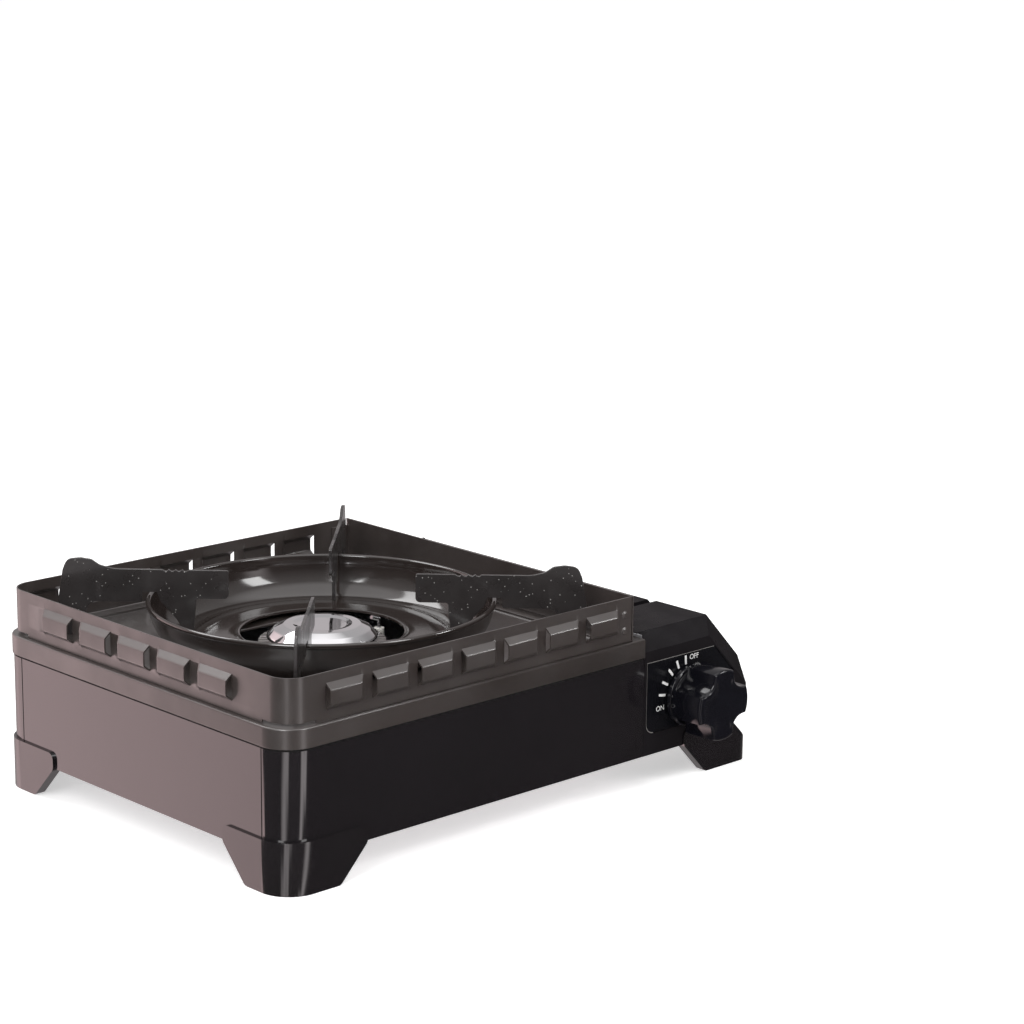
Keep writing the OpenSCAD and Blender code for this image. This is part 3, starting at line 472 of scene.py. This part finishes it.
def guard_louvres():
    """(open end, direction, length) of every louvre along the guard's path."""
    width = GUARD_X1 - GUARD_X0
    out = []
    for i in range(LONG_LOUVRES):
        from_left = LOUVRE_START + i * LOUVRE_PITCH
        out.append((width - from_left, -1, LOUVRE_W))
        out.append((BACK_START + width - from_left - GUARD_R, -1, LOUVRE_W))
    for i in range(SIDE_LOUVRES):
        out.append((LEFT_START + SIDE_START + i * SIDE_PITCH - GUARD_R, 1, SIDE_LOUVRE_W))
    return out


def louvre_columns(length):
    """Places along a louvre from its open end: even on its face, close at the turn, even down its slope."""
    turn = length - LOUVRE_OUT / END_SLOPE
    slope = length - turn
    places = [0.0, MOUTH]
    places += [MOUTH + (turn - 4 * FINE) * k / 7 for k in range(1, 8)]
    places += [turn + FINE * k for k in range(-2, 4)]
    places += [turn + slope * (0.35 + 0.65 * k / 4) for k in range(5)]
    return places


def louvre_rows():
    """Heights above a louvre's middle, close together where its surface turns."""
    turn = LOUVRE_H / 2 - LOUVRE_OUT / EDGE_SLOPE
    slope = LOUVRE_H / 2 - turn
    half = [turn / 2] + [turn + FINE * k for k in range(-2, 3)]
    half += [turn + slope * share for share in (0.4, 0.6, 0.8, 0.9, 1)]
    return sorted([-v for v in half] + [0.0] + half)


def out_at(s, z):
    """How far the guard's sheet stands out, s along its path and at height z."""
    for open_end, way, length in guard_louvres():
        u = (s - open_end) * way
        if -CUT / 2 < u < length:
            return louvre_height(max(u, 0), z - LOUVRE_Z, length)
    return 0


def guard_columns():
    """Places along the guard's path; two that lie CUT apart are the sides of a louvre's open end."""
    columns = [SHEET, PATH_END - SHEET]
    for start, slit in zip(CORNER_STARTS, SLITS):
        columns += [start + CORNER_RUN * k / CORNER_STEPS for k in range(CORNER_STEPS + 1)] + list(slit)
    for open_end, way, length in guard_louvres():
        columns.append(open_end - way * CUT)
        columns += [open_end + way * u for u in louvre_columns(length)]
    return sorted(columns)


def build_guard():
    columns = guard_columns()
    low, high = LOUVRE_Z - LOUVRE_H / 2, LOUVRE_Z + LOUVRE_H / 2
    rows = [DECK_Z + GUARD_LIFT, SLIT_TOP, (SLIT_TOP + low) / 2]
    rows += [LOUVRE_Z + v for v in louvre_rows()]
    rows += [guard_high.z - GUARD_HEM, guard_high.z]
    bm = bmesh.new()
    grid = []
    for s in columns:
        (x, y), n = guard_path(s)
        outs = [(out_at(s, z), z) for z in rows]
        grid.append([bm.verts.new((x + n[0] * out, y + n[1] * out, z)) for out, z in outs])
    for i, (a, b) in enumerate(zip(columns, columns[1:])):
        at_open_end = b - a < 2 * CUT
        over_slit = any(c0 - CUT <= a and b <= c1 + CUT for c0, c1 in SLITS)
        for j, (bottom, top) in enumerate(zip(rows, rows[1:])):
            in_louvre = low - CUT <= bottom and top <= high + CUT
            if (at_open_end and in_louvre) or (over_slit and j == 0):
                continue
            bm.faces.new([grid[i][j], grid[i][j + 1], grid[i + 1][j + 1], grid[i + 1][j]])
    obj = make_object("guard_sheet", bm, sharp=50)
    face_out(obj)
    thicken(obj, SHEET)
    bevel(obj, width=0.22 * MM, segments=2, angle=60)
    settle(obj)
    dress(obj, "guard_enamel")
    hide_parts("wind_guard")
    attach(obj, "housing")


# ------------------------------------------------------------------ top plate

SKIRT_Z = plate_low.z
LEDGE_R = 1.0 * MM
BODY_R = 17 * MM
DIP_BORDER = 9 * MM
DIP_R = 14 * MM
DIP_SIDE_STEPS = 14
DIP_LIP = ((-0.5, 0), (-0.1, -0.15), (0.1, -0.6), (0.2, -1.1), (0.5, -1.4), (1.2, -1.5))  # in and up, mm
HOLE_R = 58 * MM
HOLE_RIM = ((2, 0), (0.6, -0.2), (0, -1.4))  # beyond the hole and up, mm
HOLD = 0.3 * MM  # between the two rows at each end of the skirt's flat part
# The black strip of painted shadow under the skirt: its outline, and where it ends.
SHADOW_STRIP = ((-0.4, 0.3), (0.12, 0.3), (0.12, -1.2), (-0.4, -1.2))  # out and up from the skirt's edge, mm
SHADOW_STRIP_END = 1 * MM  # from the plate's right edge


def left_round_line(x0, x1, y0, y1, r, steps=10):
    """From the front right end round the two round left corners to the back right end."""
    front = [polar((x0 + r, y0 + r), r, a) for a in arc(-90, -180, steps)]
    back = [polar((x0 + r, y1 - r), r, a) for a in arc(180, 90, steps)]
    return [Vector(p) for p in [(x1, y0), *front, *back, (x1, y1)]]


def add_ring(bm, line, z):
    return [bm.verts.new((p.x, p.y, z)) for p in line]


def skirt_rings(bm):
    """The skirt, and the round ledge over it."""
    profile = [(0, SKIRT_Z), (0, SKIRT_Z + HOLD), (0, DECK_Z - LEDGE_R - HOLD), (0, DECK_Z - LEDGE_R)]
    for a in arc(15, 90, 5):
        profile.append((LEDGE_R * (1 - math.cos(a)), DECK_Z - LEDGE_R * (1 - math.sin(a))))
    rings = []
    for inset, z in profile:
        y0, y1 = plate_low.y + inset, plate_high.y - inset
        line = left_round_line(plate_low.x + inset, plate_high.x, y0, y1, BODY_R + SHEET - inset)
        rings.append(add_ring(bm, line, z))
    return rings


def dip_rings(bm):
    """The soft lip down to the pressed floor, all the way round."""
    x0, x1 = GUARD_X0 + DIP_BORDER, GUARD_X1 - DIP_BORDER
    y0, y1 = GUARD_Y0 + DIP_BORDER, GUARD_Y1 - DIP_BORDER
    rings = []
    for inward, up in DIP_LIP:
        g = inward * MM
        line = left_round_line(x0 + g, x1 - g, y0 + g, y1 - g, DIP_R - g)
        line += [line[-1].lerp(line[0], k / DIP_SIDE_STEPS) for k in range(1, DIP_SIDE_STEPS)]
        rings.append(add_ring(bm, line, DECK_Z + up * MM))
    return rings


def hole_rings(bm, floor):
    """The burner's hole and its turned-down rim, with a point for each of the floor's."""
    ways = [Vector((v.co.x - BURNER_X, v.co.y - BURNER_Y)).normalized() for v in floor]
    rings = []
    for beyond, up in HOLE_RIM:
        r = HOLE_R + beyond * MM
        line = [Vector((BURNER_X, BURNER_Y)) + way * r for way in ways]
        rings.append(add_ring(bm, line, DIP_Z + up * MM))
    return rings


def build_top_plate():
    bm = bmesh.new()
    skirt = skirt_rings(bm)
    for a, b in zip(skirt, skirt[1:]):
        join_rings(bm, a, b, closed=False)
    dip = dip_rings(bm)
    edge, lip = skirt[-1], dip[0]
    wrapped = len(edge)
    join_rings(bm, edge, lip[:wrapped], closed=False)
    bm.faces.new([edge[0], lip[0], *reversed(lip[wrapped:]), lip[wrapped - 1], edge[-1]])
    inside = dip + hole_rings(bm, dip[-1])
    for a, b in zip(inside, inside[1:]):
        join_rings(bm, a, b)
    obj = make_object("top_sheet", bm)
    face_out(obj)
    thicken(obj, SHEET)
    settle(obj)
    dress(obj, "guard_enamel")
    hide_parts("top_plate")
    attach(obj, "housing")


def build_painted_shadow_strip():
    """A black strip under the top plate's skirt: painted shadow in the gap between the skirt and the body."""
    bm = bmesh.new()
    x1 = plate_high.x - SHADOW_STRIP_END
    rings = []
    for out, up in SHADOW_STRIP:
        o = out * MM
        line = left_round_line(BODY_X0 - o, x1, BODY_Y0 - o, BODY_Y1 + o, BODY_R + o)
        rings.append(add_ring(bm, line, SKIRT_Z + up * MM))
    for a, b in zip(rings, rings[1:] + rings[:1]):
        join_rings(bm, a, b, closed=False)
    for k in (0, -1):
        bm.faces.new([r[k] for r in rings])
    obj = make_object("painted_shadow_strip", bm)
    dress(obj, "painted_shadow_black")
    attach(obj, "housing")


# ------------------------------------------------------------------ drip pan and pot supports

PAN_T = 0.9 * MM
PAN_BEAD = 1.5 * MM
PAN_FOOT_R = 76 * MM
PAN_HOLE_R = 45 * MM


def build_pan():
    bead_r = PAN_R - PAN_BEAD
    bead_z = pan_high.z - PAN_BEAD
    bottom = pan_low.z

    def wall(a, t):
        """The bowl's wall as a quarter of an ellipse, t inside its outer face."""
        wide, deep = bead_r - PAN_FOOT_R - t, bead_z - bottom - t
        return PAN_FOOT_R + wide * math.cos(a), bead_z - deep * math.sin(a)

    foot, hole = in_mm(PAN_FOOT_R), in_mm(PAN_HOLE_R)
    under = [
        (foot - 5.4, 0), (foot - 8.8, 2.9), (60, 2.6), (hole + 6, 2), (hole + 2.2, 2),
        (hole, 3.4), (hole, 4.6),
    ]
    over = [
        (hole + 0.9, 4.8), (hole + 1.4, 3.7), (hole + 3.4, 2.95), (hole + 7, 2.95), (60, 3.5),
        (foot - 9.2, 3.85), (foot - 4.8, 0.95),
    ]
    profile = [polar((bead_r, bead_z), PAN_BEAD, a) for a in arc(165, -75, 16)]
    profile += [wall(a, 0) for a in arc(10, 90, 16)]
    profile += [(r * MM, bottom + z * MM) for r, z in under + over]
    profile += [wall(a, PAN_T) for a in arc(90, 10, 16)]
    obj = revolve("pan_shell", profile, (BURNER_X, BURNER_Y), around=160, sharp=50)
    dress(obj, "pan_enamel")
    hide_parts("drip_pan")
    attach(obj, "pan_unit")


SUPPORT_T = 1.8 * MM

# In millimetres, as the support's outline is
HUMP_TOP = in_mm(support_high.z)
SUPPORT_TOP = HUMP_TOP - 6
SUPPORT_IN, SUPPORT_OUT = 51, 143
TEETH = 4
TOOTH_START, TOOTH_PITCH, TOOTH_R, TOOTH_UP = 74.5, 3.6, 1.9, 1

SUPPORT_TURNS = {"front": 225, "right": 315, "back": 45, "left": 135}  # degrees from +X


def tooth_notches():
    """The round notches between the pot rest's teeth, from circles whose middles lie a little over it."""
    points = []
    half = math.sqrt(TOOTH_R**2 - TOOTH_UP**2)
    for i in range(TEETH):
        middle = TOOTH_START + i * TOOTH_PITCH
        points.append((middle - half, SUPPORT_TOP, 0.3))
        for degrees in (-35, -12, 12, 35):
            points.append((*polar((middle, SUPPORT_TOP + TOOTH_UP), TOOTH_R, math.radians(degrees - 90)), 0))
        points.append((middle + half, SUPPORT_TOP, 0.3))
    return points


def support_outline():
    """A pot support in millimetres: distance from the burner's axis, height and corner radius."""
    out, low, dip = SUPPORT_OUT, SUPPORT_TOP - 16, in_mm(DIP_Z)
    rim_r, rim_z, foot_r = in_mm(PAN_R), in_mm(pan_high.z), in_mm(PAN_FOOT_R)
    pot_rest = [(SUPPORT_IN, low, 3), (SUPPORT_IN, SUPPORT_TOP, 1.4)]
    pot_rest += [*tooth_notches(), (out - 29, SUPPORT_TOP + 0.1, 20)]
    hump = [
        (out - 21.5, SUPPORT_TOP + 2, 6), (out - 17, HUMP_TOP - 0.9, 4), (out - 11, HUMP_TOP, 8),
        (out - 3.6, HUMP_TOP - 0.9, 5), (out - 1.2, HUMP_TOP - 7, 5), (out + 1.3, low, 12),
    ]
    leg = [(out + 1.6, dip + 10.5, 10), (out, dip, 0.8), (out - 13, dip, 0.8), (out - 14.2, rim_z - 4.7, 7)]
    over_rim = [
        (rim_r + 2.9, rim_z - 4.7, 1.2), (rim_r + 2.9, rim_z + 1, 0.8),
        (rim_r - 5.2, rim_z + 1, 0.8), (rim_r - 7, rim_z - 3.9, 1),
    ]
    in_pan = [
        (foot_r + 3.8, dip + 9.8, 3), (foot_r - 1.4, dip + 1.2, 1.2), (foot_r - 5.4, dip + 2.5, 1),
        (foot_r - 7, low - 4, 2), (foot_r - 7, low, 3),
    ]
    return [p * MM for p in rounded(pot_rest + hump + leg + over_rim + in_pan, 5)]


def build_supports():
    for name, turn in SUPPORT_TURNS.items():
        obj = slab("support_" + name, support_outline(), SUPPORT_T)
        obj.data.transform(Matrix.Rotation(math.radians(turn), 4, "Z"))
        obj.data.transform(Matrix.Translation((BURNER_X, BURNER_Y, 0)))
        bevel(obj, width=0.6 * MM, segments=3, angle=60)
        settle(obj)
        dress(obj, "support_enamel")
        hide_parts("pot_support_" + name)
        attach(obj, "pan_unit")


# ------------------------------------------------------------------ burner cap


def build_cap():
    """The dome over the burner's head, from an outline in millimetres with corner radii."""
    top, low, rim = in_mm(cap_high.z), in_mm(cap_low.z), in_mm(CAP_R)
    upper = [
        (0, top - 0.9, 0), (13.5, top - 0.9, 1.5), (16.4, top, 1.5), (21, top - 0.2, 3),
        (26.6, top - 2.6, 4), (rim, top - 6.2, 2.5), (rim, low, 0.3),
    ]
    lower = [
        (rim - 1.2, low, 0.3), (rim - 1.2, top - 6.8, 2), (26, top - 3.7, 3), (20.6, top - 1.4, 2),
        (16, top - 1.2, 1), (13.6, top - 1.9, 1), (0, top - 1.9, 0),
    ]
    profile = [p * MM for p in rounded(upper + lower, 7)]
    obj = revolve("cap_dome", profile, (BURNER_X, BURNER_Y), around=128, sharp=60, closed=False)
    dress(obj, "chrome")
    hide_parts("burner_cap")
    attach(obj, "housing")


# ------------------------------------------------------------------ knob

NOTCH_R = 9 * MM
NOTCH_AT = 24 * MM  # from the knob's axis to a notch's middle
NOTCH_SOFT = 3.2 * MM
HEAD_GAP = 5.5 * MM
FACE_R = 1.8 * MM
DRAFT = 0.985  # the face's size as a share of the back's
HOLLOW = ((0.80, 0), (0.76, 0.25), (0.5, 0.55), (0.2, 0.6))  # share of the face and depth, mm
KNOB_AROUND = 144


def lobe_radius(a):
    """The knob's radius at an angle: four lobes with round notches between them."""
    off = abs(a % (math.pi / 2) - math.pi / 4)
    across = NOTCH_AT * math.sin(off)
    if across >= NOTCH_R:
        return KNOB_R
    notch = NOTCH_AT * math.cos(off) - math.sqrt(NOTCH_R**2 - across**2)
    return smooth_min(KNOB_R, notch, NOTCH_SOFT)


def knob_levels():
    """(Y, inset, scale) of the head's rings, from its back over its round edge to its hollow face."""
    face = knob_low.y
    back = knob_high.y - HEAD_GAP
    front = face + FACE_R
    levels = [(back, 1.6 * MM, 1), (back - 0.4 * MM, 0.6 * MM, 1), (back - 1.4 * MM, 0, 1), (front, 0, DRAFT)]
    levels += [(front - FACE_R * math.sin(a), FACE_R * (1 - math.cos(a)), DRAFT) for a in arc(15, 90, 5)]
    return levels + [(face + deep * MM, 0, DRAFT * share) for share, deep in HOLLOW]


def build_knob_head():
    bm = bmesh.new()
    rings = []
    for y, inset, scale in knob_levels():
        radii = [(a, (lobe_radius(a) - inset) * scale) for a in arc(0, 360, KNOB_AROUND)[:-1]]
        places = [polar((KNOB_X, KNOB_Z), r, a) for a, r in radii]
        rings.append([bm.verts.new((x, y, z)) for x, z in places])
    for a, b in zip(rings, rings[1:]):
        join_rings(bm, a, b)
    bm.faces.new(rings[-1])
    bm.faces.new(list(reversed(rings[0])))
    head = make_object("knob_head", bm, sharp=50)
    dress(head, "knob_plastic")
    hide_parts("knob")
    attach(head, "knob")


def build_knob_base():
    """The stepped disc between the head and the dial, from an outline in millimetres with corner radii."""
    y0 = in_mm(knob_high.y)
    disc = [
        (3.2, y0, 0), (17.1, y0, 0.2), (17.4, y0 - 0.6, 0.4), (17.4, y0 - 2.6, 0.7), (16.4, y0 - 3.5, 0.6),
        (15.9, y0 - 3.5, 0.3), (15.6, y0 - 3.1, 0.2), (15.1, y0 - 3.1, 0.2), (14.8, y0 - 3.6, 0.3),
        (14.1, y0 - 3.9, 0.5), (13.9, y0 - 5.8, 0), (3.2, y0 - 5.8, 0),
    ]
    profile = [p * MM for p in rounded(disc, 4)]
    base = revolve("knob_base", profile, (0, 0), around=128, sharp=50)
    base.data.transform(Matrix.Rotation(math.radians(-90), 4, "X"))
    base.data.transform(Matrix.Translation((KNOB_X, 0, KNOB_Z)))
    dress(base, "knob_plastic")
    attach(base, "knob")


# ------------------------------------------------------------------ dial print, and a painted highlight on the dial panel's edges

TICK_ANGLES = (94, 112.5, 131, 151, 170)  # degrees from +X towards +Z
TICK_IN, TICK_OUT = 17.7 * MM, 22.9 * MM
TICK_W = 1.45 * MM
TICK_R = 0.4 * MM
WORDS = (("OFF", 5.4 * MM, 21.2 * MM), ("ON", -21.4 * MM, -3.9 * MM))  # each from the knob's axis
WORD_SIZE = 4.2 * MM
PRINT_T = 0.05 * MM
PRINT_Y = dial_low.y - PRINT_T / 2
PLATE_R = 6 * MM
PLATE_SHOULDER = 17 * MM
HIGHLIGHT_W = 0.45 * MM


def dial_tick(index, degrees):
    """A stroke that points away from the knob's axis."""
    long, wide = (TICK_OUT - TICK_IN) / 2, TICK_W / 2
    corners = ((-long, -wide), (long, -wide), (long, wide), (-long, wide))
    obj = slab(f"dial_tick_{index}", rounded([(*p, TICK_R) for p in corners], 3), PRINT_T)
    a = math.radians(degrees)
    x, z = polar((KNOB_X, KNOB_Z), (TICK_IN + TICK_OUT) / 2, a)
    obj.data.transform(Matrix.Translation((x, PRINT_Y, z)) @ Matrix.Rotation(-a, 4, "Y"))
    return obj


def dial_word(text, x, z):
    """A word centred at x and z, as a mesh."""
    name = "dial_word_" + text.lower()
    curve = bpy.data.curves.new(name, "FONT")
    curve.body = text
    curve.size = WORD_SIZE
    curve.align_x = "CENTER"
    curve.align_y = "CENTER"
    curve.extrude = PRINT_T / 2
    carrier = add_object("carrier", curve)
    mesh = shown_mesh(carrier)
    bpy.data.objects.remove(carrier)
    obj = add_object(name, mesh)
    obj.data.transform(Matrix.Translation((x, PRINT_Y, z)) @ Matrix.Rotation(math.radians(90), 4, "X"))
    return obj


def painted_edge_highlight():
    """A pale strip along the dial panel's left and top edges: a painted highlight of those edges."""
    x0, z0, z1 = dial_low.x, dial_low.z, dial_high.z
    x1 = dial_high.x - PLATE_SHOULDER
    centre = (x0 + PLATE_R, z0 + PLATE_R)
    bend = arc(180, 270, 6)
    outer = [(x1, z1), (x0, z1)] + [polar(centre, PLATE_R, a) for a in bend]
    inner = [(x1, z1 - HIGHLIGHT_W), (x0 + HIGHLIGHT_W, z1 - HIGHLIGHT_W)]
    inner += [polar(centre, PLATE_R - HIGHLIGHT_W, a) for a in bend]
    obj = slab("painted_edge_highlight", outer + inner[::-1], PRINT_T)
    obj.data.transform(Matrix.Translation((0, PRINT_Y, 0)))
    return obj


def build_dial_print_and_highlight():
    # A painted highlight along the dial panel's edges, then the real ticks and words.
    line = painted_edge_highlight()
    dress(line, "painted_edge_highlight")
    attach(line, "housing")
    marks = [dial_tick(i, a) for i, a in enumerate(TICK_ANGLES)]
    marks += [dial_word(text, KNOB_X + x, KNOB_Z + z) for text, x, z in WORDS]
    for obj in marks:
        dress(obj, "dial_print")
        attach(obj, "housing")


# ------------------------------------------------------------------ the CAD nodes that stay

SLOT_OF = {s["node"]: s["material_slot"] for s in frame["record"]["subparts"]}

EDGE_WIDTHS = (
    (0.15 * MM, (
        "front_panel", "left_panel", "back_panel", "bottom_plate", "partition", "lid_catch",
        "canister_cradle", "heat_panel", "burner_bracket",
    )),
    (0.2 * MM, ("guard_right_wall", "burner_head", "regulator_bracket")),
    (0.25 * MM, ("right_panel", "control_plate", "guard_rivets")),
    (0.3 * MM, ("canister_lid", "canister_seat")),
    (0.4 * MM, ("burner_bowl", "regulator")),
    (0.5 * MM, ("piezo_igniter",)),
    (0.6 * MM, ("foot_front_left", "foot_back_left", "foot_front_right", "foot_back_right")),
    (0.7 * MM, ("front_housing",)),
)
EDGE_OF = {name: width for width, names in EDGE_WIDTHS for name in names}
WELD = 0.002 * MM


def finish_cad_nodes():
    """Gives every CAD node that shows its finish, and softens the edges of those in EDGE_WIDTHS."""
    for name, obj in frame["nodes"].items():
        if obj.hide_render:
            continue
        dress(obj, SLOT_OF[name])
        if name in EDGE_OF:
            weld = obj.modifiers.new("join", "WELD")
            weld.merge_threshold = WELD
            bevel(obj, width=EDGE_OF[name], segments=2, angle=35)


# ------------------------------------------------------------------ studio

# (azimuth from +X as a share of a turn, level, 1 for the warm tone) of what glossy faces reflect
AZIMUTH_GLOW = [
    (0.00, 0.12, 0), (0.07, 0.40, 0), (0.13, 0.50, 0), (0.20, 0.40, 0),
    (0.30, 1.60, 1), (0.342, 1.58, 1), (0.358, 1.20, 1), (0.365, 1.05, 1),
    (0.377, 0.08, 0), (0.572, 0.06, 0), (0.595, 1.05, 0), (0.607, 1.05, 0), (0.632, 0.08, 0),
    (0.738, 0.08, 0), (0.764, 1.20, 0), (0.777, 1.20, 0), (0.799, 0.10, 0), (0.83, 0.06, 0),
    (0.90, 0.04, 0), (1.00, 0.12, 0),
]
NEUTRAL, WARM = (1, 0.93, 0.94), (1, 0.765, 0.77)
FROM_SIDE_TO_SKY = [(0.25, (0, 0, 0)), (0.75, (1, 1, 1))]
SKY = [(0.78, (0.42, 0.41, 0.41)), (0.90, (1.15, 1.13, 1.13))]


def background(tree, colour, strength):
    return add_node(tree, "Background", {"Color": colour, "Strength": strength}).outputs["Background"]


def mixed_shader(tree, share, a, b):
    return add_node(tree, "MixShader", {"Fac": share, 1: a, 2: b}).outputs["Shader"]


def build_world():
    """Glossy faces see the studio's glow, the camera sees white, and the rest gets an even light."""
    world = bpy.data.worlds.new("studio")
    bpy.context.scene.world = world
    world.use_nodes = True
    tree = world.node_tree
    tree.nodes.clear()
    place = add_node(tree, "TexCoord").outputs["Generated"]
    way = add_node(tree, "SeparateXYZ", {"Vector": place}).outputs
    angle = math_of(tree, "ARCTAN2", way["Y"], way["X"])
    azimuth = math_of(tree, "FRACT", spread(tree, angle, -math.pi, math.pi, -0.5, 0.5))
    glow = [(at, shade(WARM if warm else NEUTRAL, level)) for at, level, warm in AZIMUTH_GLOW]
    height = ramp(tree, way["Z"], FROM_SIDE_TO_SKY)
    studio = mixed(tree, height, ramp(tree, azimuth, glow), ramp(tree, way["Z"], SKY))
    path = add_node(tree, "LightPath").outputs
    even = background(tree, (1, 0.99, 0.98, 1), 0.55)
    lit = mixed_shader(tree, path["Is Glossy Ray"], even, background(tree, studio, 1))
    seen = math_of(tree, "MAXIMUM", path["Is Camera Ray"], path["Is Transmission Ray"])
    shown = mixed_shader(tree, seen, lit, background(tree, (1, 1, 1, 1), 1))
    add_node(tree, "OutputWorld", {"Surface": shown})


def build_floor():
    """A pale floor that the camera sees lifted to white, and that no glossy face reflects."""
    bm = bmesh.new()
    bmesh.ops.create_grid(bm, x_segments=2, y_segments=2, size=40)
    floor = make_object("floor", bm)
    tree, shader = new_material("floor")
    path = add_node(tree, "LightPath").outputs
    lift = math_of(tree, "MULTIPLY", path["Is Camera Ray"], 0.5)
    pale, white = (0.93, 0.93, 0.93, 1), (1, 1, 1, 1)
    set_inputs(shader, {"Roughness": 0.9, "Base Color": pale, "Specular IOR Level": 0})
    set_inputs(shader, {"Emission Color": white, "Emission Strength": lift})
    floor.data.materials.append(FINISHES["floor"])
    floor.visible_glossy = False


def softbox(name, place, size, power):
    """A rectangular light that faces the burner."""
    aim = Vector((BURNER_X, BURNER_Y, 0.08))
    lamp = bpy.data.lights.new(name, "AREA")
    lamp.shape = "RECTANGLE"
    lamp.size, lamp.size_y = size
    lamp.energy = power
    obj = add_object(name, lamp)
    obj.location = place
    obj.rotation_euler = (aim - Vector(place)).to_track_quat("-Z", "Y").to_euler()


def build_lights():
    softbox("key_left", (-1.15, -0.55, 1.05), size=(0.5, 0.9), power=10)
    softbox("key_right", (0.35, -1.45, 1.25), size=(0.45, 0.8), power=7)
    softbox("top_back", (-0.3, 1.1, 1.5), size=(1.4, 0.5), power=9)
    softbox("edge_right", (1.30, -1.05, 1.11), size=(0.42, 0.2), power=5)


# The camera that fits the photograph: metres, degrees and millimetres
CAMERA_AT = (-0.99314, -1.13349, 0.51117)
CAMERA_YAW, CAMERA_PITCH, CAMERA_ROLL = 43.62869, 13.39783, 0.63209
CAMERA_LENS, CAMERA_SENSOR = 99.02, 36


def build_camera():
    yaw, pitch, roll = (math.radians(a) for a in (CAMERA_YAW, CAMERA_PITCH, CAMERA_ROLL))
    ahead = Vector((math.sin(yaw) * math.cos(pitch), math.cos(yaw) * math.cos(pitch), -math.sin(pitch)))
    level = Vector((math.cos(yaw), -math.sin(yaw), 0))
    above = level.cross(ahead)
    right = level * math.cos(roll) + above * math.sin(roll)
    up = above * math.cos(roll) - level * math.sin(roll)
    lens = bpy.data.cameras.new("camera")
    lens.lens = CAMERA_LENS
    lens.sensor_width = CAMERA_SENSOR
    camera = add_object("camera", lens)
    turn = Matrix((right, up, -ahead)).transposed().to_4x4()
    camera.matrix_world = Matrix.Translation(CAMERA_AT) @ turn
    bpy.context.scene.camera = camera


build_guard()
build_top_plate()
build_painted_shadow_strip()
build_pan()
build_supports()
build_cap()
build_knob_head()
build_knob_base()
build_dial_print_and_highlight()
finish_cad_nodes()
build_world()
build_floor()
build_lights()
build_camera()
bpy.context.scene.view_settings.view_transform = "Standard"
